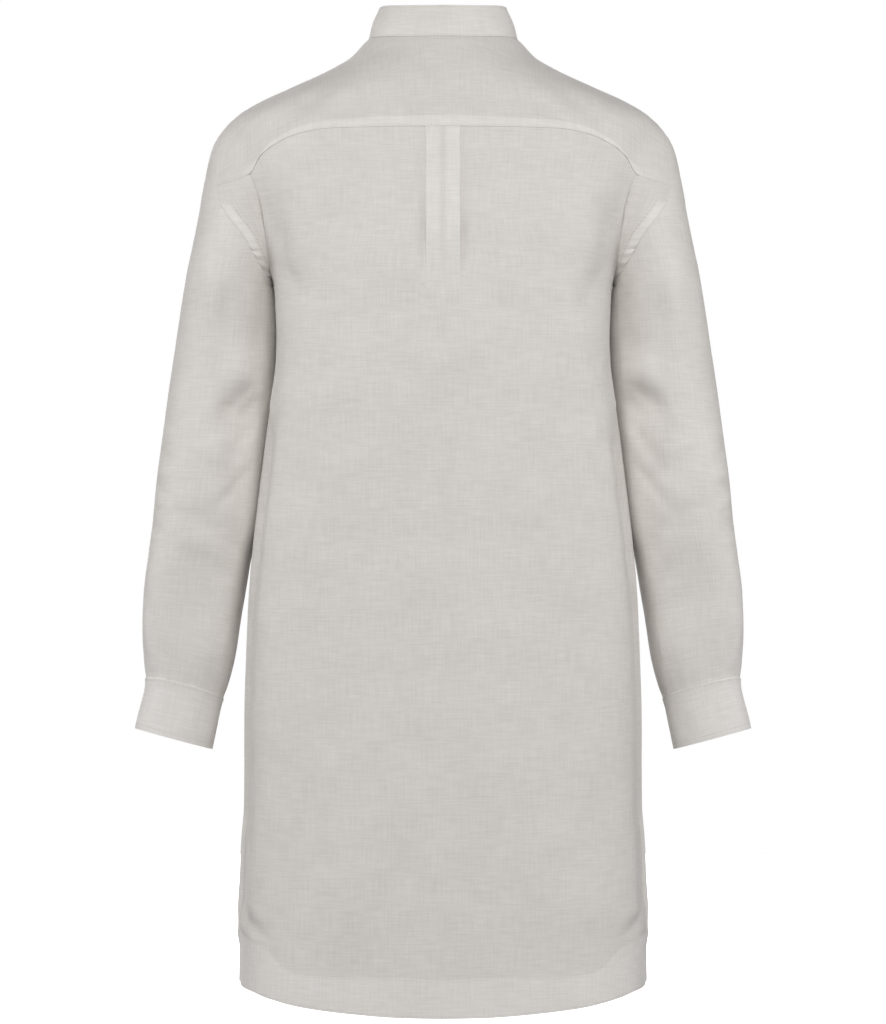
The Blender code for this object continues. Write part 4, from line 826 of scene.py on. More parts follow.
def colour_between(made: bpy.types.Material, share: bpy.types.NodeSocket, low: str, high: str,
                   clamped: bool = True) -> None:
    """Give a material's shader a mix of two colours."""
    tree = made.node_tree
    mixed = add(tree, "ShaderNodeMix", {"Factor": share, "A": linear(low), "B": linear(high)},
                data_type="RGBA", clamp_factor=clamped)
    tree.links.new(mixed.outputs["Result"], tree.nodes["Principled BSDF"].inputs["Base Color"])


def object_place(tree: bpy.types.NodeTree, size: float) -> bpy.types.NodeSocket:
    """Object coordinates, counted in steps of so many millimetres."""
    place = add(tree, "ShaderNodeTexCoord").outputs["Object"]
    return add(tree, "ShaderNodeVectorMath", {0: place, 1: (1000 / size,) * 3},
               operation="MULTIPLY").outputs[0]


class Rim(Enum):
    """Edges of a piece that seams and stitches are measured from."""

    TOP = "X"
    BOTTOM = "Y"
    SIDE = "Z"


class Band(NamedTuple):
    """A strip along an edge where the cloth is double and so looks lighter."""

    rim: Rim
    start: float
    end: float
    fade: float = 0.35


class Stitches(NamedTuple):
    """A row of stitches along an edge."""

    rim: Rim
    distance: float


@dataclass(frozen=True)
class Linen:
    """Woven natural linen, washed and unbleached.

    Its yarn is uneven, so thick slubs run along and across it, and two layers look lighter
    than one, because less of the dark inside shows through.
    """

    name: str
    thick: str = "#DAD6D2"
    thin: str = "#C9C4BF"
    double_lift: float = 0.5
    bands: tuple[Band, ...] = ()
    stitches: tuple[Stitches, ...] = ()
    slub_width: float = 1.5      # real yarn is 0.5 mm wide; drawn coarser so that it shows
    slub_length: float = 24.0
    stitch_length: float = 3.2
    stitch_share: float = 0.74   # of each stitch's length that is thread
    stitch_half_width: float = 0.4
    stitch_shade: float = -0.55
    stitch_depth: float = -1.2
    band_edge: float = 0.3
    roughness: float = 0.88

    def material(self) -> bpy.types.Material:
        """Make the material."""
        made, shader = new_material(self.name, self.roughness)
        tree = made.node_tree
        shader.inputs["Specular IOR Level"].default_value = 0.25
        shader.inputs["Sheen Weight"].default_value = 0.12
        shader.inputs["Sheen Roughness"].default_value = 0.5
        weave = add(tree, "ShaderNodeUVMap", uv_map="weave").outputs["UV"]
        yarn = self._yarn(tree, weave)
        rims = add(tree, "ShaderNodeSeparateXYZ", {0: add(
            tree, "ShaderNodeAttribute", attribute_name="rim").outputs["Vector"]})
        double, lit = (add(tree, "ShaderNodeAttribute", attribute_name=label).outputs["Fac"]
                       for label in ("double", "lit"))
        for band in self.bands:
            away = rims.outputs[band.rim.value]
            inner = add(tree, "ShaderNodeMapRange", {
                "Value": away, "From Min": band.end - band.fade, "From Max": band.end + band.fade,
                "To Min": 1.0, "To Max": 0.0}).outputs["Result"]
            outer = add(tree, "ShaderNodeMapRange", {
                "Value": away, "From Min": band.start - self.band_edge,
                "From Max": band.start + self.band_edge}).outputs["Result"]
            # painted light and shade: lit brightens a doubled strip where light catches it and takes it
            # away where shade falls
            both = maths(tree, "MULTIPLY", maths(tree, "MULTIPLY", inner, outer), lit)
            double = maths(tree, "MAXIMUM", double, both)
        tone = maths(tree, "MULTIPLY_ADD", double, self.double_lift, yarn)
        # the stitches' darkening follows the same painted light and shade
        sewn = maths(tree, "MULTIPLY", self._sewn(tree, weave, rims), lit)
        tone = maths(tree, "MULTIPLY_ADD", sewn, self.stitch_shade, tone)
        colour_between(made, tone, self.thin, self.thick, clamped=False)
        height = maths(tree, "MULTIPLY_ADD", sewn, self.stitch_depth, yarn)
        bump = add(tree, "ShaderNodeBump", {"Strength": 0.32, "Distance": 0.0004, "Height": height})
        tree.links.new(bump.outputs["Normal"], shader.inputs["Normal"])
        return made

    def _yarn(self, tree: bpy.types.NodeTree, weave: bpy.types.NodeSocket) -> bpy.types.NodeSocket:
        """How thick the yarn is at a place: slubs along and across, and soft clouds."""
        across, along = 1000 / self.slub_width, 1000 / self.slub_length
        layers = (      # scale, place in the noise, share
            ((along, across, 0.0), (0.0, 0.0, 1.0), 1.15),
            ((across, along * 0.8, 0.0), (7.3, 2.1, 4.0), 0.90),
            ((1000 / 60, 1000 / 42, 0.0), (3.1, 9.7, 8.0), 0.75),
            ((1000 / 14, 1000 / 5, 0.0), (5.5, 1.3, 2.0), 0.50),
        )
        total: bpy.types.NodeSocket | float = 0.5 - 0.5 * sum(layer[2] for layer in layers)
        for scale, place, share in layers:
            spot = add(tree, "ShaderNodeVectorMath", {0: weave, 1: scale, 2: place},
                       operation="MULTIPLY_ADD")
            noise = add(tree, "ShaderNodeTexNoise", {
                "Vector": spot.outputs[0], "Scale": 1.0, "Detail": 2.0, "Roughness": 0.55})
            total = maths(tree, "MULTIPLY_ADD", noise.outputs["Fac"], share, total)
        return total

    def _sewn(self, tree: bpy.types.NodeTree, weave: bpy.types.NodeSocket,
              rims: bpy.types.Node) -> bpy.types.NodeSocket | float:
        """1 on each stitch, 0 elsewhere."""
        parts = add(tree, "ShaderNodeSeparateXYZ", {0: weave})
        total: bpy.types.NodeSocket | float = 0.0
        for row in self.stitches:
            run = parts.outputs["Y" if row.rim is Rim.SIDE else "X"]
            cycle = maths(tree, "FRACT", maths(tree, "MULTIPLY", run, 1000 / self.stitch_length))
            dash = maths(tree, "LESS_THAN", cycle, self.stitch_share)
            away = rims.outputs[row.rim.value]
            line = maths(tree, "COMPARE", away, row.distance, self.stitch_half_width)
            total = maths(tree, "MAXIMUM", maths(tree, "MULTIPLY", dash, line), total)
        return total


@dataclass(frozen=True)
class ShellButton:
    """Polished shell: a hard, faintly milky face with soft clouds under its gloss."""

    name: str = "polished_shell"
    light: str = "#E9E4DA"
    dark: str = "#CFC8BA"
    cloud: float = 3.5
    roughness: float = 0.28

    def material(self) -> bpy.types.Material:
        """Make the material."""
        made, shader = new_material(self.name, self.roughness)
        tree = made.node_tree
        shader.inputs["IOR"].default_value = 1.53
        shader.inputs["Coat Weight"].default_value = 0.2
        noise = add(tree, "ShaderNodeTexNoise", {
            "Vector": object_place(tree, self.cloud), "Scale": 1.0, "Detail": 3.0, "Distortion": 0.8})
        colour_between(made, noise.outputs["Fac"], self.dark, self.light)
        return made


@dataclass(frozen=True)
class SewingThread:
    """Spun polyester thread: two twisted strands, matte and a little darker than the linen."""

    name: str = "sewing_thread"
    colour: str = "#BDB6AD"
    shade: str = "#A39B90"
    twist: float = 0.5
    roughness: float = 0.75

    def material(self) -> bpy.types.Material:
        """Make the material."""
        made, _ = new_material(self.name, self.roughness)
        tree = made.node_tree
        wave = add(tree, "ShaderNodeTexWave", {
            "Vector": object_place(tree, self.twist), "Scale": 0.3, "Distortion": 1.0},
            bands_direction="DIAGONAL")
        colour_between(made, wave.outputs["Fac"], self.shade, self.colour)
        return made


# -------- cloth

@dataclass
class ClothGrid:
    """The outer side of a piece of cloth, row by row.

    The weave is the place of each point on the flat cloth, and the rim how far it is from the
    upper, lower and side edges. Double is 1 where two layers lie on each other, and lit says how
    strongly the doubled strips along its edges and their stitches show, as painted light and
    shade: more where light catches them, none where they run into shade. On a closed piece the
    last column repeats the first.
    """

    point: Array
    normal: Array
    weave: Array
    rim: Array
    double: Array
    lit: Array
    closed: bool = False

    @classmethod
    def laid(cls, point: Array, normal: Array, weave: Array, double: Array | None = None,
             closed: bool = False) -> ClothGrid:
        """Make a grid and measure the distances to its edges."""
        down, over = run_length(point), run_length(point, axis=1)
        side = np.full(over.shape, NO_EDGE) if closed else np.minimum(over, over[:, -1:] - over)
        rim = np.stack([down, down[-1:] - down, side], axis=-1)
        double = np.zeros(over.shape) if double is None else double
        return cls(point, normal, weave, rim, double, np.ones(over.shape), closed)

    def on(self, side: Side) -> ClothGrid:
        """The same piece on one side of the body."""
        if side is Side.LEFT:
            return self
        return ClothGrid(mirrored(self.point), mirrored(self.normal), self.weave * WEAVE_TURNED,
                         self.rim, self.double, self.lit, self.closed)


@dataclass
class Sheet:
    """How a piece of cloth is cut: its flat width and length in metres, and what carries it."""

    flat: tuple[float, float]
    area: float | None = None
    held: str = "hung"
    rests_on: tuple[str, ...] = ()


def select_only(item: bpy.types.Object) -> None:
    """Make one object the only selected and the active one."""
    bpy.ops.object.select_all(action="DESELECT")
    item.select_set(True)
    bpy.context.view_layer.objects.active = item


def apply_modifier(item: bpy.types.Object, kind: str, **settings) -> None:
    """Give an object a modifier with these settings, and apply it."""
    select_only(item)
    bpy.ops.object.modifier_add(type=kind)
    modifier = item.modifiers[-1]
    for name, value in settings.items():
        setattr(modifier, name, value)
    bpy.ops.object.modifier_apply(modifier=modifier.name)


def cloth_object(name: str, grid: ClothGrid, thickness: float, finish: Linen) -> bpy.types.Object:
    """Make a thin shell of cloth.

    Args:
        name: Name of the object.
        grid: Its outer side.
        thickness: Wall in millimetres, to the inside.
        finish: Its finish.

    Returns:
        The object, with its wall applied.
    """
    rows, cols = grid.point.shape[:2]
    used = cols - 1 if grid.closed else cols
    index = np.arange(rows)[:, None] * used + (np.arange(cols) % used)[None]
    place = np.arange(rows * cols).reshape(rows, cols)
    corners = [np.stack([a[:-1, :-1], a[:-1, 1:], a[1:, 1:], a[1:, :-1]], axis=-1).reshape(-1, 4)
               for a in (index, place)]
    point = grid.point[:, :used].reshape(-1, 3)
    normal = grid.normal[:, :used].reshape(-1, 3)
    first, second, third = (point[corners[0][:, i]] for i in (0, 1, 3))
    facing = (np.cross(second - first, third - first) * normal[corners[0][:, 0]]).sum()
    if facing < 0:
        corners = [c[:, ::-1] for c in corners]
    mesh = bpy.data.meshes.new(name)
    mesh.from_pydata((point * MM).tolist(), [], corners[0].tolist())
    layer = mesh.uv_layers.new(name="weave")
    layer.data.foreach_set("uv", (grid.weave.reshape(-1, 2)[corners[1].ravel()] * MM).ravel())
    rim = mesh.attributes.new("rim", "FLOAT_VECTOR", "POINT")
    rim.data.foreach_set("vector", grid.rim[:, :used].reshape(-1).astype(np.float32))
    for label, values in (("double", grid.double), ("lit", grid.lit)):
        layer = mesh.attributes.new(label, "FLOAT", "POINT")
        layer.data.foreach_set("value", values[:, :used].reshape(-1).astype(np.float32))
    shape = bmesh.new()
    shape.from_mesh(mesh)
    bmesh.ops.remove_doubles(shape, verts=shape.verts, dist=2e-6)
    shape.to_mesh(mesh)
    shape.free()
    item = bpy.data.objects.new(name, mesh)
    bpy.context.scene.collection.objects.link(item)
    item.data.materials.append(finish.material())
    apply_modifier(item, "SOLIDIFY", thickness=thickness * MM, offset=-1.0)
    bpy.ops.object.shade_smooth_by_angle(angle=CLOTH_SMOOTH)
    return item


def level_rows(start: float, stop: float, step: float) -> Array:
    """Heights from one level down to another, about a step apart."""
    count = max(1, round((start - stop) / step))
    return np.linspace(start, stop, count + 1)


def stacked(top: Array, levels: Array, bottom: Array, upper: int, lower: int) -> Array:
    """Heights of a panel's rows: a shaped upper edge, level rows and a shaped lower edge.

    Args:
        top: Height of the upper edge in each column.
        levels: Level heights.
        bottom: Height of the lower edge in each column.
        upper: Rows above the levels.
        lower: Rows below them.

    Returns:
        Heights, rows by columns.
    """
    part = np.linspace(0, 1, upper + 1)[:-1, None]
    rest = np.linspace(0, 1, lower + 1)[1:, None]
    level = np.repeat(levels[:, None], len(top), axis=1)
    return np.concatenate([top * (1 - part) + levels[0] * part, level,
                           levels[-1] * (1 - rest) + bottom * rest])


@dataclass
class ClothPiece:
    """A cut piece of cloth: it stands for one solid of the frame."""

    form: ShirtForm
    node: str
    finish: Linen
    sheet: Sheet
    slot: str = "linen"
    thickness: float = 0.9

    def grid(self) -> ClothGrid:
        """The piece's outer side."""
        raise NotImplementedError

    def build(self) -> None:
        """Make the piece, hang it on the root body, hide the solid that it stands for and log its faces.
        """
        item = cloth_object(f"cloth_{self.node}", self.grid(), self.thickness, self.finish)
        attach(item, "root")
        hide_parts(self.node)
        LOG.info("%s: %d faces", item.name, len(item.data.polygons))


@dataclass
class BoxPleat:
    """The box pleat at the centre back, which opens into a soft ridge on its way down."""

    half_width: float = 15.5
    radius: float = 0.68
    underlay: float = 11.5
    top: float = 0.9
    reach: float = 26.0
    middle: float = -0.6
    wall: float = 0.9
    opening_z: float = -150.0
    open_z: float = -238.0
    underlay_z: tuple[float, float] = (-110.0, -202.0)
    layered_z: tuple[float, float] = (-222.0, -162.0)
    soft_end_z: float = -420.0
    arcs: int = 4               # straight steps of each of its two bends
    underlay_steps: int = 3

    def profile(self, z: float) -> tuple[Array, Array]:
        """Half of the pleat's section at a height.

        Args:
            z: The height.

        Returns:
            Distance from the centre and height of the outer side, place by place, and 1 where
            layers lie on each other.
        """
        turn = math.pi * (1 - float(ramp(z, self.opening_z, self.open_z)))
        underlay = self.underlay * (1 - float(ramp(z, *self.underlay_z))) + 0.4
        if z < self.open_z:
            turn, underlay = 0.0, 0.0
        soft = float(ramp(z, self.soft_end_z, self.open_z))
        radius, middle = self.radius, self.middle
        drop = 2 * radius * (1 - math.cos(turn)) + underlay * math.sin(turn)
        top = middle + (self.top - middle) * max(drop / (4 * radius), 0.6 * soft)
        start = self.half_width - radius * min(1.0, math.sin(min(turn, math.pi / 2)))
        layered = turn / math.pi * float(ramp(z, *self.layered_z))
        path = [(start * share, top, 0.0, layered * lit) for share, lit in
                ((0.0, 0.0), (0.12, 0.0), (0.2, 0.6), (0.4, 1.0), (0.65, 1.0), (0.88, 1.0), (1.0, 1.0))]
        x, height = start, top
        arcs, steps = self.arcs, self.underlay_steps
        bend = [((part + 0.5) / arcs, (part + 1) / arcs) for part in range(arcs)]
        arc = 2 * radius * math.sin(turn / arcs / 2)
        moves = [(arc, turn * middle_share, turn * end) for middle_share, end in bend]
        moves += [(underlay / steps, turn, turn)] * steps
        moves += [(arc, turn * (1 - middle_share), turn * (1 - end)) for middle_share, end in bend]
        for length, heading, after in moves:
            x += length * math.cos(heading)
            height -= length * math.sin(heading)
            path.append((x, height, after, layered))
        low, first = height, x
        for part in np.linspace(0, 1, 8)[1:]:
            rise = float(ramp(part, 0.2, 1.0))
            path.append((first + (self.reach - first) * part, low + (middle - low) * rise, 0.0, 0.0))
        line = np.array(path)
        lean = np.stack([np.sin(line[:, 2]), np.cos(line[:, 2])], axis=-1) * self.wall / 2
        return line[:, :2] + lean, line[:, 3]


@dataclass
class BackPanel(ClothPiece):
    """The back panel, from the yoke seam to the hem band."""

    pleat: BoxPleat = field(default_factory=BoxPleat)
    crease_depth: float = 2.6
    fine_z: float = -240.0      # above it the rows lie closer, round the opening pleat
    fine_step: float = 2.1
    step: float = 4.4
    lit_split_z: float = -600.0
    # painted highlight: within this span behind the armholes the doubled strip is painted brighter than
    # double cloth
    armhole_lit: float = 1.5
    armhole_lit_span: Span = Span(-134, -146, -183, -203)
    slit_lit: float = 1.2
    slit_lit_z: tuple[float, float] = (-704.0, -718.0)
    groove_span: Span = Span(-108, -136, -204, -213)
    groove_width: float = 2.3
    lip: float = 0.9
    lip_width: float = 4.5
    lip_away: float = 6.5
    turn_span: Span = Span(-322, -362, -782, -812)
    turn_reach: float = 15.0
    pucker_span: Span = Span(-138, -156, -204, -226)
    pucker_width: float = 11.0

    def grid(self) -> ClothGrid:
        """The panel with its pleat and folds."""
        form, pleat = self.form, self.pleat
        first, _ = pleat.profile(-100.0)      # every section of the pleat has as many places
        shares = np.concatenate([np.linspace(0.125, 0.80, 46), np.linspace(0.80, 0.905, 25)[1:],
                                 np.linspace(0.905, 1.0, 9)[1:]])      # closest at the crease
        share = np.concatenate([np.zeros(len(first)), shares])
        rise = np.concatenate([np.maximum(first[:, 1], 0) * 0.3, np.zeros(len(shares))])
        levels = np.concatenate([level_rows(form.patch_z, self.fine_z, self.fine_step)[:-1],
                                 level_rows(self.fine_z, form.lowest_level, self.step)])
        z = stacked(form.yoke_seam_z(share) - SEAM_GAP - rise, levels,
                    form.band_top_z(share) + SEAM_GAP, 20, 9)
        along, height, double = np.zeros_like(z), np.zeros_like(z), np.zeros_like(z)
        for row in range(len(z)):
            profile, layered = pleat.profile(float(z[row, 0]))
            along[row, :len(profile)] = profile[:, 0]
            height[row, :len(profile)] = profile[:, 1]
            double[row, :len(profile)] = layered
        base, reach = form.chart(z, share[None], along)
        base = form.slit_edge(base, share[None], Face.BACK)
        normal = form.body_normal(base)
        place = share[None] + along / FOLD_REACH
        near_seam = smooth_step((form.yoke_seam_z(share)[None] - z) / 16)
        still = height + self._groove(z, reach, place) + self._side_turn(base)
        halves = []
        for sign in (-1.0, 1.0):
            folds = body_relief(sign * place, z, BACK_FOLDS, BACK_CREASES) * near_seam
            half = base + normal * (still + folds + self._pucker(z, reach, sign))[..., None]
            half[:, 0, 0] = 0.0
            halves.append(half)
        point = joined(mirrored(halves[0]), halves[1])
        normals = joined(mirrored(normal), normal)
        run = run_length(halves[1][10])[None]
        heights = joined(z, z)
        weave = np.stack([np.where(z[:, :1] > self.fine_z, joined(-run, run), joined(-reach, reach)),
                          heights], axis=-1)
        laid = ClothGrid.laid(point, normals, weave, joined(double, double))
        laid.rim[..., 2] *= np.where(heights > self.lit_split_z, 0.5, 0.45)
        laid.lit = self._lit(heights)
        return laid

    def _lit(self, z: Array) -> Array:
        """How strongly the doubled edge is painted lighter: behind the armholes, where it is painted
        brighter than double cloth as a highlight on the seam, and along the side slits.
        """
        return np.where(z > self.lit_split_z, self.armhole_lit * self.armhole_lit_span.share(z),
                        self.slit_lit * ramp(z, *self.slit_lit_z))

    def _groove(self, z: Array, reach: Array, place: Array) -> Array:
        """The sharp crease where the panel turns outwards to the armhole."""
        crease = self.form.crease_share
        off = (np.abs(place) - crease) / crease * 190
        cut = -self.crease_depth * np.exp(-(off / self.groove_width) ** 2)
        lip = self.lip * np.exp(-((off + self.lip_away) / self.lip_width) ** 2)
        return (cut + lip) * self.groove_span.share(z) * (reach > 60)

    def _side_turn(self, base: Array) -> Array:
        """How far the cloth draws in behind the sleeve before it turns round the side of the body."""
        torso, z = self.form.torso, base[..., 2]
        edge = torso["half_width"](z) - np.abs(base[..., 0])
        behind = smooth_step((base[..., 1] - torso["widest_y"](z)) / 12)
        depth = 6.0 + 3.0 * ramp(z, -560, -440)
        return -depth * (1 - smooth_step(edge / self.turn_reach)) * behind * self.turn_span.share(z)

    def _pucker(self, z: Array, reach: Array, sign: float) -> Array:
        """Small gathers where the armhole seam draws the cloth in."""
        length = reach.max(axis=1, keepdims=True)
        near = np.exp(-((length - reach) / self.pucker_width) ** 2)
        wave = np.sin(z * 0.80 + 0.9 * sign + 0.6 * np.sin(z * 0.21))
        wave = wave * (0.8 + 0.3 * np.sin(z * 0.37 + sign))
        return (0.35 + 0.75 * ramp(z, -168, -182)) * near * self.pucker_span.share(z) * wave


@dataclass
class Yoke(ClothPiece):
    """The yoke over both shoulders."""

    neck_at_armhole: float = 64.0
    neck_at_shoulder: float = 88.0
    neck_at_front: float = 108.0
    front_angle: float = 33.0
    rows: int = 30
    seam_lift: float = 0.45
    evening_rounds: int = 14
    seam_columns: int = 61
    no_seam: float = 200.0      # distance given where the seam isn't the doubled one

    def front_seam(self, count: int) -> Array:
        """The seam between yoke and front, from the neck to the armhole."""
        form = self.form
        start = form.neck_point(self.neck_at_front)
        end = form.armhole_point(self.front_angle, Face.FRONT)
        share = np.linspace(0, 1, 41)[:, None]
        path = form.settle(start * (1 - share) + end * share)
        path[0], path[-1] = start, end
        return spaced(path, count)

    def net(self) -> tuple[Array, Array]:
        """Rays from the neck to the outer edge of the left half, evened out on the form.

        Returns:
            The points, and how far along the seam over the back each ray ends, 2 past the seam.
        """
        form = self.form
        shares = np.linspace(0, 1, self.seam_columns)
        seam = form.chart(form.yoke_seam_z(shares), shares)[0]
        back_angle = math.degrees(float(form.armhole_angle(YOKE_SEAM[-1].z, Face.BACK)))
        over = form.armhole_point(np.linspace(back_angle, 0, 13)[1:], Face.BACK)
        down = form.armhole_point(np.linspace(0, self.front_angle, 11)[1:], Face.FRONT)
        edge = np.concatenate([seam, over, down])
        spread = np.interp(shares, (0, 0.104, 0.55, 0.86, 1.0), (0, 0.133, 0.467, 0.8, 1.0))
        angles = np.concatenate([
            self.neck_at_armhole * spread,
            np.linspace(self.neck_at_armhole, self.neck_at_shoulder, 13)[1:],
            np.linspace(self.neck_at_shoulder, self.neck_at_front, 11)[1:],
        ])
        neck = form.neck_point(angles)
        part = np.linspace(0, 1, self.rows + 1)[:, None, None]
        grid = form.settle(neck[None] * (1 - part) + edge[None] * part)
        grid[0], grid[-1] = neck, edge
        grid[:, -1] = self.front_seam(self.rows + 1)
        for _ in range(self.evening_rounds):
            middle = (grid[:-2, 1:-1] + grid[2:, 1:-1] + grid[1:-1, :-2] + grid[1:-1, 2:]) / 4
            grid[1:-1, 1:-1] = form.settle((grid[1:-1, 1:-1] + middle) / 2, rounds=2)
        return grid, np.concatenate([shares, np.full(grid.shape[1] - len(shares), 2.0)])

    def soft_folds(self, grid: Array, away: Array) -> Array:
        """Height of the yoke's folds, which leave the neck and the seam flat.

        Args:
            grid: The points of the left half.
            away: Distance of each from the outer edge.

        Returns:
            The height at each point, in millimetres.
        """
        x, y, z = np.moveaxis(grid, -1, 0)
        soft = (0.7 * np.exp(-((y - 40 - 0.10 * x) / 12) ** 2) * ramp(x, 90, 130)
                - 0.9 * np.exp(-((y - 62 + 0.12 * x) / 13) ** 2) * ramp(x, 60, 110)
                + 0.5 * np.sin(x / 17.0) * np.exp(-((away - 20) / 10) ** 2)
                + relief(YOKE_FOLDS, x, z, 1.0) * ramp(y, 0, 12))
        return soft * (ramp(away, 0, 14) * smooth_step((grid[0][None, :, 2] - z + 4) / 26))

    def grid(self) -> ClothGrid:
        """Both halves as one piece, with the raised band along the seam over the back."""
        grid, ends = self.net()
        normal = self.form.outward(grid)
        away = run_length(grid[::-1])[::-1]
        x = grid[..., 0]
        # Painted shade: the band's lighter tone and its stitches fade out where the seam runs into the
        # shaded crease at the armhole.
        clear_of_crease = 1 - ramp(ends, 0.85, 0.93)
        gathered = 0.3 * np.sin(x / 1.9 + np.sin(x / 5.3)) * np.exp(-((away - 6) / 4) ** 2)
        lift = self.seam_lift * (1 - ramp(away, 9, 14)) * (0.15 + 0.85 * clear_of_crease)
        lift += gathered * ramp(x, 104, 116) * clear_of_crease
        soft = self.soft_folds(grid, away)
        half = grid + normal * (lift + soft)[..., None]
        other = grid + normal * (lift + 0.8 * soft)[..., None]
        point = joined(mirrored(other), half)
        weave = np.stack([point[..., 0], -0.62 * point[..., 1] + 0.85 * point[..., 2]], axis=-1)
        laid = ClothGrid.laid(point, joined(mirrored(normal), normal), weave)
        beyond = np.arange(grid.shape[1])[None] > self.seam_columns
        laid.rim[..., 1] = np.where(joined(beyond, beyond), self.no_seam, laid.rim[..., 1])
        laid.lit = np.repeat(joined(clear_of_crease[None], clear_of_crease[None]), len(grid), axis=0)
        return laid


@dataclass
class Front(ClothPiece):
    """A front panel. The left one runs under the button strip, the right one beside it."""

    side: Side = Side.LEFT
    yoke: Yoke | None = None
    strip_half_width: float = 15.0
    underlap: float = 14.0
    patch_rows: int = 26
    step: float = 4.6
    gather: float = 0.4
    gather_width: float = 10.0
    gather_span: Span = Span(-130, -148, -204, -226)

    def edge_columns(self) -> tuple[Array, Array]:
        """Distances from the centre of the columns by the strip, and how deep they lie."""
        if self.side is Side.LEFT:
            return (np.array([-self.underlap, -7.0, 0.0, 6.0, 12.0, 15.5, 18.0, 20.5, 23.0, 25.5, 28.0]),
                    np.array([-1.5, -1.5, -1.5, -1.5, -1.5, -1.5, -1.4, -1.1, -0.7, -0.25, 0.0]))
        steps = np.array([self.strip_half_width + 0.1, 19.0, 23.0, 28.0])
        return steps, np.zeros(len(steps))

    def lower_columns(self) -> tuple[Array, Array, Array]:
        """Distance, share and depth of every column below the shoulder."""
        steps, sink = self.edge_columns()
        shares = np.concatenate([np.linspace(0.14, 0.40, 18), np.linspace(0.40, 1.0, 41)[1:]])
        none = np.zeros(len(shares))
        share = np.concatenate([np.zeros(len(steps)), shares])
        return np.concatenate([steps, none]), share, np.concatenate([sink, none])

    def neck_angle(self, x: float) -> float:
        """Degrees round the neck, near the centre front, at a distance to the side."""
        return 180.0 - math.degrees(math.asin(x / self.form.neck_half_width))

    def patch(self, along: Array, share: Array, rows: int) -> Array:
        """The part between the shaped upper edge and the first level row."""
        form, yoke = self.form, self.yoke
        near = [self.neck_angle(x) for x in along[share == 0.0]]
        rest = np.linspace(near[-1], yoke.neck_at_front, 19)[1:]
        neck = form.neck_point(np.concatenate([near, rest]))
        top = np.concatenate([neck, yoke.front_seam(len(share) - len(neck) + 1)[1:]])
        bottom = form.chart(np.full(len(share), form.patch_z), share, along, Face.FRONT)[0]
        low = math.degrees(float(form.armhole_angle(form.patch_z, Face.FRONT)))
        right = form.armhole_point(np.linspace(yoke.front_angle, low, rows + 1), Face.FRONT)
        part = np.linspace(0, 1, rows + 1)
        left = form.chart(top[0, 2] * (1 - part) + form.patch_z * part, 0.0, along[0], Face.FRONT)[0]
        left[0] = top[0]
        edge = run_length(bottom)
        u, v = (edge / edge[-1])[None, :, None], part[:, None, None]
        ruled = top[None] * (1 - v) + bottom[None] * v + left[:, None] * (1 - u) + right[:, None] * u
        corners = (top[0] * (1 - u) * (1 - v) + top[-1] * u * (1 - v)
                   + bottom[0] * (1 - u) * v + bottom[-1] * u * v)
        grid = form.settle(ruled - corners)
        grid[0], grid[-1], grid[:, 0], grid[:, -1] = top, bottom, left, right
        return grid

    def grid(self) -> ClothGrid:
        """The front, from neck and yoke seam to the hem band."""
        form = self.form
        along, share, sink = self.lower_columns()
        patch = self.patch(along, share, self.patch_rows)
        levels = level_rows(form.patch_z, form.lowest_level, self.step)
        top, bottom = np.full(len(share), form.patch_z), form.band_top_z(share) + SEAM_GAP
        z = stacked(top, levels, bottom, 0, 9)[1:]
        base, reach = form.chart(z, share[None], along[None], Face.FRONT)
        lower = form.slit_edge(base, share[None], Face.FRONT)
        grid = np.concatenate([patch, lower])
        height = grid[..., 2]
        normal = form.body_normal(grid)
        full = np.concatenate([along[0] + run_length(patch, axis=1), reach])
        place = (share + along / FOLD_REACH)[None]
        clear = ramp(place, 0.13, 0.25) * smooth_step((patch[0, :, 2][None] - height) / 18)
        creases = FRONT_CREASES
        if self.side is Side.RIGHT:
            creases = tuple(f._replace(at=f.at + 0.02, z=f.z - 12, to_z=f.to_z + 9) for f in creases)
        folds = body_relief(place, height, FRONT_FOLDS, creases) * clear
        edge = np.exp(-((full.max(axis=1, keepdims=True) - full) / self.gather_width) ** 2)
        wave = np.sin(height * 0.7 + self.side.value)
        folds += self.gather * edge * self.gather_span.share(height) * wave
        point = grid + normal * (sink[None] + folds)[..., None]
        weave = np.stack([full, height], axis=-1)
        return ClothGrid.laid(point, normal, weave).on(self.side)


@dataclass
class HemBand(ClothPiece):
    """A doubled band on the lower edge, deeper at its ends."""

    face: Face = Face.BACK
    front: Front | None = None
    mitre_share: float = 0.80
    lift: float = 0.35
    rows: int = 9
    half_columns: int = 66

    def grid(self) -> ClothGrid:
        """The band along one panel."""
        form = self.form
        if self.face is Face.BACK:
            share = np.linspace(0, 1, self.half_columns)
            along = sink = np.zeros(self.half_columns)
        else:
            along, share, sink = self.front.lower_columns()
        part = np.linspace(0, 1, self.rows + 1)[:, None]
        top = form.band_top_z(share)
        z = top * (1 - part) + form.hem_z(share) * part
        base, reach = form.chart(z, share[None], along[None], self.face)
        base = form.slit_edge(base, share[None], self.face)
        normal = form.body_normal(base)
        mitre = (share[None] - self.mitre_share - 0.05 * (part - 0.5)) * 250
        groove = -0.35 * np.exp(-(mitre / 2.2) ** 2)
        swell = 0.25 * np.sin(reach / 23.0) * part
        point = base + normal * (self.lift + sink[None] + groove + swell)[..., None]
        double = np.where(mitre > 0, 1.5, 0.0) * np.ones_like(z)
        weave = np.stack([reach, z], axis=-1)
        if self.face is Face.FRONT:
            return ClothGrid.laid(point, normal, weave, double).on(self.front.side)
        point[:, 0, 0] = 0.0
        return ClothGrid.laid(joined(mirrored(point), point), joined(mirrored(normal), normal),
                              joined(weave * WEAVE_TURNED, weave), joined(double, double))


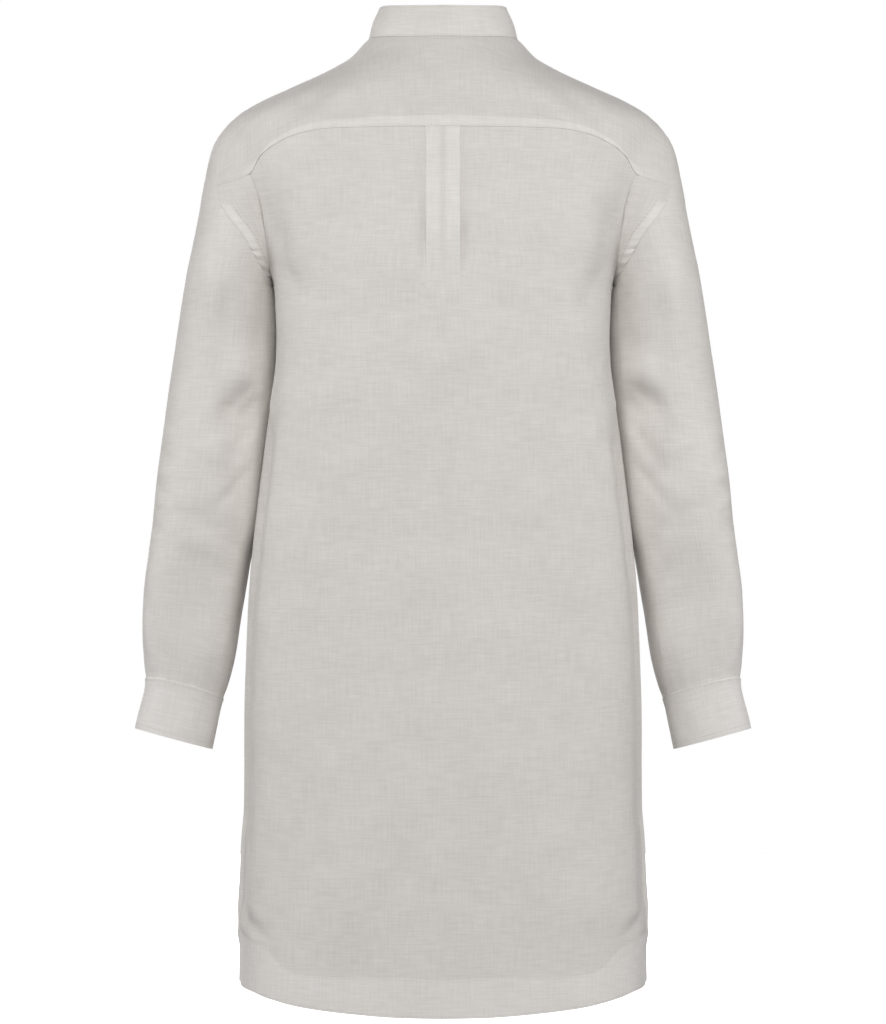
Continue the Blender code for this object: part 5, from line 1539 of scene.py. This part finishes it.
@dataclass
class ButtonStrip(ClothPiece):
    """The strip down the centre front that carries the buttonholes."""

    half_width: float = 15.0
    lift: float = 0.4
    columns: int = 11
    step: float = 4.6
    lowest_level: float = -872.0

    def grid(self) -> ClothGrid:
        """The strip, from the neck to the hem."""
        form = self.form
        along = self.half_width * np.linspace(-1, 1, self.columns)
        neck = form.neck_point(180.0 - np.degrees(np.arcsin(along / form.neck_half_width)))
        bottom = np.full(len(along), HEM[0].z)
        levels = level_rows(form.patch_z, self.lowest_level, self.step)
        z = stacked(neck[:, 2] - 2 * SEAM_GAP, levels, bottom, 26, 3)
        base = form.chart(z, 0.0, along[None], Face.FRONT)[0]
        normal = form.body_normal(base)
        swell = 0.3 * np.sin(z / 26.0) * (along[None] / self.half_width) ** 2
        point = base + normal * (self.lift + swell)[..., None]
        return ClothGrid.laid(point, normal, np.stack([along + 0 * z, z], axis=-1))


@dataclass
class CollarBand(ClothPiece):
    """The band that stands on the neck seam and laps at the centre front."""

    height: float = 29.6
    top_half_width: float = 60.2
    top_half_depth: float = 57.5
    top_middle_y: float = -5.5
    lap: float = 13.0
    thickness: float = 1.6
    columns: int = 141
    rows: int = 10
    foot_lift: float = 0.25

    def grid(self) -> ClothGrid:
        """The band, with a slightly rolled upper edge."""
        form = self.form
        lap = math.degrees(self.lap / form.neck_half_width)
        angle = np.linspace(-180 - lap, 180 + lap, self.columns)
        foot = form.neck_point(angle)
        foot[:, 2] += self.foot_lift
        turn = np.radians(angle)
        top = np.stack([self.top_half_width * np.sin(turn),
                        self.top_middle_y + self.top_half_depth * np.cos(turn),
                        foot[:, 2] + self.height], axis=-1)
        part = np.linspace(0, 1, self.rows)[:, None, None]
        grid = top[None] * (1 - part) + foot[None] * part
        across = np.stack([np.sin(turn), np.cos(turn) * form.neck_half_width / form.neck_half_depth,
                           np.zeros_like(turn)], axis=-1)
        across /= np.linalg.norm(across, axis=-1)[:, None]
        under = smooth_step((angle - (180 - 2.2 * lap)) / (1.1 * lap)) * (self.thickness + 0.4)
        belly = 1.1 * np.sin(math.pi * part[..., 0]) + 0.35 * np.sin(turn * 9 + 3 * part[..., 0])
        belly = belly * np.sin(math.pi * np.clip(part[..., 0], 0.04, 0.96)) - under[None]
        point = grid + across[None] * belly[..., None]
        normal = np.broadcast_to(across[None], point.shape)
        run = turn * form.neck_half_width
        weave = np.stack([run[None] + 0 * part[..., 0], -part[..., 0] * self.height + 0 * run], axis=-1)
        return ClothGrid.laid(point, normal, weave)


@dataclass
class Sleeve(ClothPiece):
    """A sleeve: one tube from the armhole seam to the cuff."""

    side: Side = Side.LEFT
    columns: int = 76
    cap_rows: int = 24
    ring_z: float = -236.0      # the first level ring, below the armhole
    step: float = 4.4
    around: float = 47.0        # millimetres of weave in a radian
    wrist_z: float = -594.0
    lean: float = 1.6     # the hanging sleeve rests softly against the side of the body
    squareness: float = 0.35
    elbow_squareness: float = 0.28
    tuck: float = 3.0     # how far the end of the sleeve is sewn up inside the cuff
    tuck_depth: float = 1.1
    square_z: tuple[float, float] = (-300.0, -460.0)
    elbow_z: tuple[float, float] = (-330.0, -420.0)
    lean_z: tuple[float, float] = (-540.0, -480.0)
    # painted light: between these heights, and by this much, the lower sleeve is painted lighter towards
    # the wrist
    double_z: tuple[float, float] = (-430.0, -560.0)
    doubled: float = 0.9
    gather: float = 0.35
    gather_z: tuple[float, float] = (-555.0, -589.0)
    pucker: float = 0.35
    pucker_length: float = 9.0
    inner_angles: tuple[float, float] = (118.0, 150.0)     # degrees: the side towards the body

    def tube(self, z: Array, turn: Array) -> tuple[Array, Array]:
        """The plain sleeve.

        Args:
            z: Height of each point.
            turn: Angle of each column round the arm, in radians.

        Returns:
            The points and their outward directions.
        """
        form = self.form
        square = self.squareness * ramp(z, *self.square_z)
        above_wrist = ramp(z, self.wrist_z, self.wrist_z + 60)
        square += self.elbow_squareness * ramp(z, *self.elbow_z) * above_wrist
        grid = form.ring_at(z, np.broadcast_to(turn, z.shape), square)
        high = grid[..., 2] > form.underarm_z
        grid[high] = form.settle(grid[high], rounds=3)
        normal = form.outward(grid, form.arm_gap)
        normal[high] = form.outward(grid[high])
        return grid, normal

    def folds(self) -> Sequence[Fold]:
        """The table's folds, a little different on the right sleeve."""
        if self.side is Side.LEFT:
            return SLEEVE_FOLDS
        return [f._replace(z=f.z + 5 * math.sin(n * 1.7), to_z=f.to_z - 4 * math.cos(n * 2.3),
                           height=f.height * (1 + 0.2 * math.sin(n * 3.1)))
                for n, f in enumerate(SLEEVE_FOLDS)]

    def relief(self, z: Array, angle: Array, below_seam: Array) -> Array:
        """Height of folds, gathers and puckers over the plain sleeve.

        Args:
            z: Height of each point.
            angle: Degrees of each column round the arm.
            below_seam: Distance of each point below the armhole seam.

        Returns:
            The height at each point, in millimetres.
        """
        around, turn = np.abs(angle), np.radians(angle)
        inner = ramp(around, *self.inner_angles[::-1])[None]
        clear = ramp(below_seam, 0, 24) * ramp(z, self.wrist_z, self.wrist_z + 12)
        off = relief(self.folds(), angle[None], z, FOLD_TURN) * clear * (0.3 + 0.7 * inner)
        against_body = ramp(around, 118, 152)[None]
        off += self.lean * against_body * ramp(below_seam, 0, 10) * ramp(z, *self.lean_z)
        gathers = self.gather * np.sin(turn * 17 + 0.8 * np.sin(turn * 3)) * ramp(z, *self.gather_z)
        off += gathers * (0.5 + 0.5 * inner)
        near = np.exp(-(below_seam / self.pucker_length) ** 2)
        puckers = np.sin(turn * 31 + 0.7 * np.sin(turn * 5))
        off += self.pucker * near * puckers * (around > 60) * inner
        return off

    def grid(self) -> ClothGrid:
        """The sleeve with its folds."""
        form = self.form
        angle = np.round(180 - 360 * np.arange(self.columns + 1) / self.columns, 9)
        around = np.abs(angle)
        edge = np.where(angle >= 0, form.armhole_z[Face.BACK](around), form.armhole_z[Face.FRONT](around))
        part = np.linspace(0, 1, self.cap_rows + 1)[:-1, None]
        upper = (edge[None] - SEAM_GAP) * (1 - part) + self.ring_z * part
        levels = np.append(level_rows(self.ring_z, self.wrist_z, self.step), self.wrist_z - self.tuck)
        z = np.concatenate([upper, np.repeat(levels[:, None], len(angle), axis=1)])
        turn = np.radians(angle)
        grid, normal = self.tube(z, turn)
        off = self.relief(z, angle, edge[None] - z)
        off[-1] = -self.tuck_depth
        point = grid + normal * off[..., None]
        point[:, -1] = point[:, 0]
        weave = np.stack([np.broadcast_to(turn * self.around, z.shape), z], axis=-1)
        # Painted light: towards the wrist the sleeve is painted lighter, through the same lift as double
        # cloth, for the light that the lower sleeve catches.
        double = self.doubled * ramp(z, *self.double_z)
        return ClothGrid.laid(point, normal, weave, double, closed=True).on(self.side)


@dataclass
class Cuff(ClothPiece):
    """A cuff: a doubled band round the wrist whose ends lap."""

    side: Side = Side.LEFT
    height: float = 47.5
    wrist_z: float = -594.0
    lap_angle: float = 26.0
    lap_at: float = 215.0
    thickness: float = 1.6
    lift: float = 0.9
    edge_roll: float = 0.7
    rows: int = 12
    columns: int = 97
    squareness: float = 0.35
    around: float = 37.0        # millimetres of weave in a radian

    def grid(self) -> ClothGrid:
        """The cuff, a little fuller at its middle."""
        form = self.form
        turned = np.linspace(-self.lap_angle / 2, 360 + self.lap_angle / 2, self.columns)
        angle = np.radians(self.lap_at + turned)
        part = np.linspace(0, 1, self.rows)[:, None]
        z = self.wrist_z - SEAM_GAP - part * (self.height - SEAM_GAP)
        grid = form.ring_at(*np.broadcast_arrays(z, angle[None]), self.squareness)
        across = grid - grid.mean(axis=1, keepdims=True)
        across /= np.linalg.norm(across, axis=-1)[..., None]
        under = smooth_step((turned - (360 - 1.6 * self.lap_angle)) / (0.9 * self.lap_angle))
        off = self.lift + 0.5 * np.sin(math.pi * part) - under[None] * (self.thickness + 0.5)
        off = off + 0.25 * np.sin(angle * 7 + 2 * part) * np.sin(math.pi * part)
        off = off + self.edge_roll * np.exp(-(part * self.height / 4) ** 2)
        point = grid + across * off[..., None]
        weave = np.stack([angle[None] * self.around + 0 * part, z + 0 * angle[None]], axis=-1)
        return ClothGrid.laid(point, across, weave).on(self.side)


# -------- buttons

def cylinder(vertices: int, radius: float, depth: float, place: tuple[float, float, float],
             turn: tuple[float, float, float] = (0.0, 0.0, 0.0)) -> bpy.types.Object:
    """Add a cylinder of these millimetres, with its place and turn in its mesh."""
    bpy.ops.object.select_all(action="DESELECT")
    bpy.ops.mesh.primitive_cylinder_add(vertices=vertices, radius=radius * MM, depth=depth * MM,
                                        location=[value * MM for value in place], rotation=turn)
    bpy.ops.object.transform_apply(location=True, rotation=True, scale=True)
    return bpy.context.active_object


@dataclass
class Button:
    """A turned four-hole button, sewn on with crossed thread."""

    radius: float = 5.5
    thickness: float = 2.4
    rim: float = 1.0
    dish_depth: float = 0.55
    dish_edge: float = 0.5
    floor_depth: float = 0.25
    rounding: float = 0.28
    hole_radius: float = 0.75
    hole_place: float = 1.55
    thread_radius: float = 0.42
    thread_rounding: float = 0.18
    shank_radius: float = 1.5
    shank_height: float = 0.9

    def model(self) -> tuple[bpy.types.Object, bpy.types.Object]:
        """Model the button and its thread at the origin, facing +Z.

        Returns:
            The button and the thread.
        """
        button = cylinder(40, self.radius, self.thickness, (0, 0, self.thickness / 2))
        bpy.ops.object.mode_set(mode="EDIT")
        bpy.ops.mesh.select_mode(type="FACE")
        self._select_top(button)
        bpy.ops.mesh.inset(thickness=self.rim * MM, depth=0)
        bpy.ops.transform.translate(value=(0, 0, -self.dish_depth * MM))
        bpy.ops.mesh.inset(thickness=self.dish_edge * MM, depth=0)
        bpy.ops.transform.translate(value=(0, 0, -self.floor_depth * MM))
        bpy.ops.object.mode_set(mode="OBJECT")
        apply_modifier(button, "BEVEL", width=self.rounding * MM, segments=2)
        for turn in range(4):
            self._drill(button, math.radians(45 + 90 * turn))
        return button, self._thread()

    def _select_top(self, item: bpy.types.Object) -> None:
        """Select the upper cap of the button."""
        bpy.ops.mesh.select_all(action="DESELECT")
        bpy.ops.object.mode_set(mode="OBJECT")
        for face in item.data.polygons:
            face.select = face.normal.z > 0.9
        bpy.ops.object.mode_set(mode="EDIT")

    def _drill(self, item: bpy.types.Object, angle: float) -> None:
        """Cut one thread hole."""
        place = (self.hole_place * math.cos(angle), self.hole_place * math.sin(angle), 1.0)
        drill = cylinder(12, self.hole_radius, 8.0, place)
        apply_modifier(item, "BOOLEAN", operation="DIFFERENCE", object=drill)
        bpy.data.objects.remove(drill, do_unlink=True)

    def _thread(self) -> bpy.types.Object:
        """Two crossed bars of thread over the holes, and a shank behind the button."""
        parts = []
        for turn in (45, 135):
            parts.append(cylinder(10, self.thread_radius, self.hole_place * 2,
                                  (0, 0, self.thickness - self.dish_depth),
                                  (math.pi / 2, 0, math.radians(turn))))
            bpy.ops.object.mode_set(mode="EDIT")
            bpy.ops.mesh.select_all(action="SELECT")
            bpy.ops.mesh.bevel(offset=self.thread_rounding * MM, segments=2)
            bpy.ops.object.mode_set(mode="OBJECT")
        parts.append(cylinder(14, self.shank_radius, self.shank_height, (0, 0, -0.1)))
        bpy.ops.object.select_all(action="DESELECT")
        for part in parts:
            part.select_set(True)
        bpy.context.view_layer.objects.active = parts[0]
        bpy.ops.object.join()
        return bpy.context.active_object


@dataclass
class ButtonSet:
    """Every button of the shirt, each a copy of one model."""

    form: ShirtForm
    collar: CollarBand
    cuff: Cuff
    first_z: float = -82.0
    spacing: float = 81.0
    count: int = 9
    seat: float = 0.75
    collar_seat: tuple[float, float, float] = (0.0, -1.0, 0.5)
    cuff_turn: float = 2.0      # degrees from the middle of the lap
    cuff_seat: float = 1.3

    def places(self) -> dict[str, tuple[Array, Array]]:
        """Where each button sits, and which way it faces."""
        form, found = self.form, {}
        for number in range(self.count):
            z = np.array([self.first_z - self.spacing * number])
            point = form.chart(z, 0.0, 0.0, Face.FRONT)[0]
            found[f"button_front_{number + 1:02d}"] = (point[0], form.body_normal(point)[0])
        foot = form.neck_point(180.0)
        rise = np.array([0.0, self.collar.top_middle_y - self.collar.top_half_depth - foot[1],
                         self.collar.height])
        facing = np.array([0.0, -rise[2], rise[1]])
        found["button_collar"] = (foot + rise * 0.5 + np.array(self.collar_seat),
                                  facing / np.linalg.norm(facing))
        for name, side in (("button_cuff_left", 1), ("button_cuff_right", -1)):
            z = self.cuff.wrist_z - self.cuff.height / 2
            turn = np.radians(np.array([self.cuff.lap_at + self.cuff_turn]))
            ring = form.ring_at(np.full(1, z), turn)[0]
            middle = form.ring_at(np.full(60, z), np.linspace(0, math.tau, 60)).mean(axis=0)
            across = (ring - middle) / np.linalg.norm(ring - middle)
            turned = np.array([side, 1, 1])
            found[name] = ((ring + across * self.cuff_seat) * turned, across * turned)
        return found

    def build(self) -> None:
        """Copy the model to every place."""
        button, thread = Button().model()
        shell, yarn = ShellButton().material(), SewingThread().material()
        for name, (point, facing) in self.places().items():
            aim = Vector(facing.tolist()).to_track_quat("Z", "Y").to_matrix().to_4x4()
            aim.translation = Vector((point + facing * self.seat).tolist()) * MM
            for model, finish, label in ((button, shell, "shell"), (thread, yarn, "thread")):
                mesh = model.data.copy()
                mesh.transform(aim)
                mesh.materials.clear()
                mesh.materials.append(finish)
                item = bpy.data.objects.new(f"{label}_{name}", mesh)
                bpy.context.scene.collection.objects.link(item)
                select_only(item)
                bpy.ops.object.shade_smooth_by_angle(angle=BUTTON_SMOOTH)
                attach(item, "root")
                if label == "shell":
                    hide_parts(name)
        for model in (button, thread):
            bpy.data.objects.remove(model, do_unlink=True)
        LOG.info("buttons: %d", len(self.places()))


# -------- studio

@dataclass
class Studio:
    """A plain pale floor, soft light and the camera."""

    distance: float = 3.5
    camera_z: float = -0.4249
    frame_height: float = 0.96256
    floor_z: float = -1.02
    floor_radius: float = 3.0
    floor_glow: float = 0.9
    aim_z: float = -0.42
    sensor: float = 36.0
    surround: float = 0.05

    def build(self) -> None:
        """Set up floor, light and camera."""
        self._floor()
        self._world()
        self._light("key", (0.0, 3.0, 0.7), 2.3, 88.0)
        for side in (-1, 1):
            self._light(f"side_low_{side}", (2.8 * side, 0.8, -0.7), 1.6, 41.0)
            self._light(f"side_high_{side}", (3.0 * side, -0.8, 0.5), 1.8, 12.0)
        self._light("front_key", (0.5, -3.0, 0.7), 2.3, 80.0)
        camera = bpy.data.objects.new("camera", bpy.data.cameras.new("camera"))
        camera.data.sensor_fit = "VERTICAL"
        camera.data.sensor_height = self.sensor
        camera.data.lens = self.sensor * self.distance / self.frame_height
        camera.data.clip_end = 100.0
        camera.location = (0.0, self.distance, self.camera_z)
        camera.rotation_euler = (math.pi / 2, 0.0, math.pi)
        bpy.context.scene.collection.objects.link(camera)
        bpy.context.scene.camera = camera
        bpy.context.scene.view_settings.view_transform = "Standard"

    def _floor(self) -> None:
        """A large matte floor under the shirt."""
        bpy.ops.object.select_all(action="DESELECT")
        bpy.ops.mesh.primitive_circle_add(vertices=64, radius=self.floor_radius, fill_type="NGON",
                                          location=(0, 0, self.floor_z))
        floor = bpy.context.active_object
        floor.name = "studio_floor"
        floor.visible_diffuse = False
        made, shader = new_material("matte_floor_paint", 0.9)
        tree = made.node_tree
        noise = add(tree, "ShaderNodeTexNoise", {
            "Vector": add(tree, "ShaderNodeTexCoord").outputs["Object"], "Scale": 40.0})
        colour_between(made, noise.outputs["Fac"], "#FAFAFA", "#FFFFFF")
        shader.inputs["Emission Color"].default_value = (1, 1, 1, 1)
        shader.inputs["Emission Strength"].default_value = self.floor_glow
        floor.data.materials.append(made)

    def _world(self) -> None:
        """White surroundings, dimmer as a light than they look."""
        world = bpy.data.worlds.new("studio")
        bpy.context.scene.world = world
        world.use_nodes = True
        tree = world.node_tree
        tree.nodes.clear()
        seen, lit = (add(tree, "ShaderNodeBackground", {"Color": (1, 1, 1, 1), "Strength": strength})
                     for strength in (1.0, self.surround))
        rays = add(tree, "ShaderNodeLightPath")
        mixed = add(tree, "ShaderNodeMixShader", {
            0: rays.outputs["Is Camera Ray"], 1: lit.outputs[0], 2: seen.outputs[0]})
        add(tree, "ShaderNodeOutputWorld", {0: mixed.outputs[0]})

    def _light(self, name: str, place: tuple[float, float, float], size: float, power: float) -> None:
        """A square soft light aimed at the shirt."""
        lamp = bpy.data.lights.new(name, "AREA")
        lamp.size = size
        lamp.energy = power
        item = bpy.data.objects.new(name, lamp)
        item.location = place
        aim = Vector((0, 0, self.aim_z)) - Vector(place)
        item.rotation_euler = aim.to_track_quat("-Z", "Y").to_euler()
        bpy.context.scene.collection.objects.link(item)


# -------- the shirt

def build_shirt(form: ShirtForm) -> None:
    """Build every piece of the shirt.

    Args:
        form: The form that the cloth lies on.
    """
    top_edge, bottom_edge, side_edge = Rim.TOP, Rim.BOTTOM, Rim.SIDE
    whole = (Band(top_edge, -5.0, 2000.0),)
    panel = Linen("linen_back_panel", bands=(Band(side_edge, 0.8, 5.6, 1.9),),
                  stitches=(Stitches(side_edge, 6.0),))
    BackPanel(form, "back_panel", panel, Sheet((0.60, 0.80), 0.405, rests_on=("yoke",))).build()
    yoke_cloth = Linen("linen_yoke", bands=(Band(bottom_edge, 0.6, 10.4),),
                       stitches=(Stitches(bottom_edge, 1.6),))
    yoke = Yoke(form, "yoke", yoke_cloth, Sheet((0.50, 0.24), 0.075, held="draped"))
    yoke.build()
    banded = Linen("linen_double_band", bands=whole,
                   stitches=(Stitches(top_edge, 1.6), Stitches(bottom_edge, 1.8)))
    HemBand(form, "back_hem_band", banded, Sheet((0.52, 0.065), 0.018, rests_on=("cloth_back_panel",)),
            slot="linen_double", thickness=1.4).build()
    front_cloth = Linen("linen_front", bands=(Band(side_edge, 0.8, 6.0),))
    for side, name in ((Side.LEFT, "left"), (Side.RIGHT, "right")):
        front = Front(form, f"front_{name}", front_cloth, Sheet((0.32, 0.88), 0.20, rests_on=("yoke",)),
                      side=side, yoke=yoke)
        front.build()
        HemBand(form, f"front_hem_band_{name}", banded,
                Sheet((0.29, 0.065), 0.0105, rests_on=(f"cloth_front_{name}",)),
                slot="linen_double", thickness=1.4, face=Face.FRONT, front=front).build()
        # Painted light: the sleeves are the same linen as the body, painted a little lighter for the
        # light that falls more fully on them.
        sleeve_cloth_painted_lighter = Linen(f"linen_sleeve_{name}", thick="#DFDBD7", thin="#CEC9C4")
        Sleeve(form, f"sleeve_{name}", sleeve_cloth_painted_lighter, Sheet((0.40, 0.54), 0.16, rests_on=("yoke",)),
               side=side).build()
        cuff_cloth = Linen(f"linen_cuff_{name}", double_lift=0.9, bands=whole,
                           stitches=(Stitches(top_edge, 1.8), Stitches(bottom_edge, 5.0)))
        cuff = Cuff(form, f"cuff_{name}", cuff_cloth,
                    Sheet((0.252, 0.048), rests_on=(f"cloth_sleeve_{name}",)),
                    slot="linen_double", side=side)
        cuff.build()
    strip = Linen("linen_button_strip", bands=whole, stitches=(Stitches(side_edge, 2.0),))
    ButtonStrip(form, "front_placket", strip, Sheet((0.031, 0.87), rests_on=("cloth_front_right",)),
                slot="linen_double", thickness=1.2).build()
    collar_cloth = Linen("linen_collar", double_lift=0.3, bands=whole,
                         stitches=(Stitches(top_edge, 2.0), Stitches(bottom_edge, 1.6)))
    collar = CollarBand(form, "collar_band", collar_cloth, Sheet((0.46, 0.031), held="draped"),
                        slot="linen_double")
    collar.build()
    ButtonSet(form, collar, cuff).build()


def main() -> None:
    """Load the frame, and build the shirt and the studio."""
    logging.basicConfig(level=logging.INFO, format="%(name)s: %(message)s")
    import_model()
    build_shirt(ShirtForm())
    Studio().build()


if __name__ == "__main__":
    main()
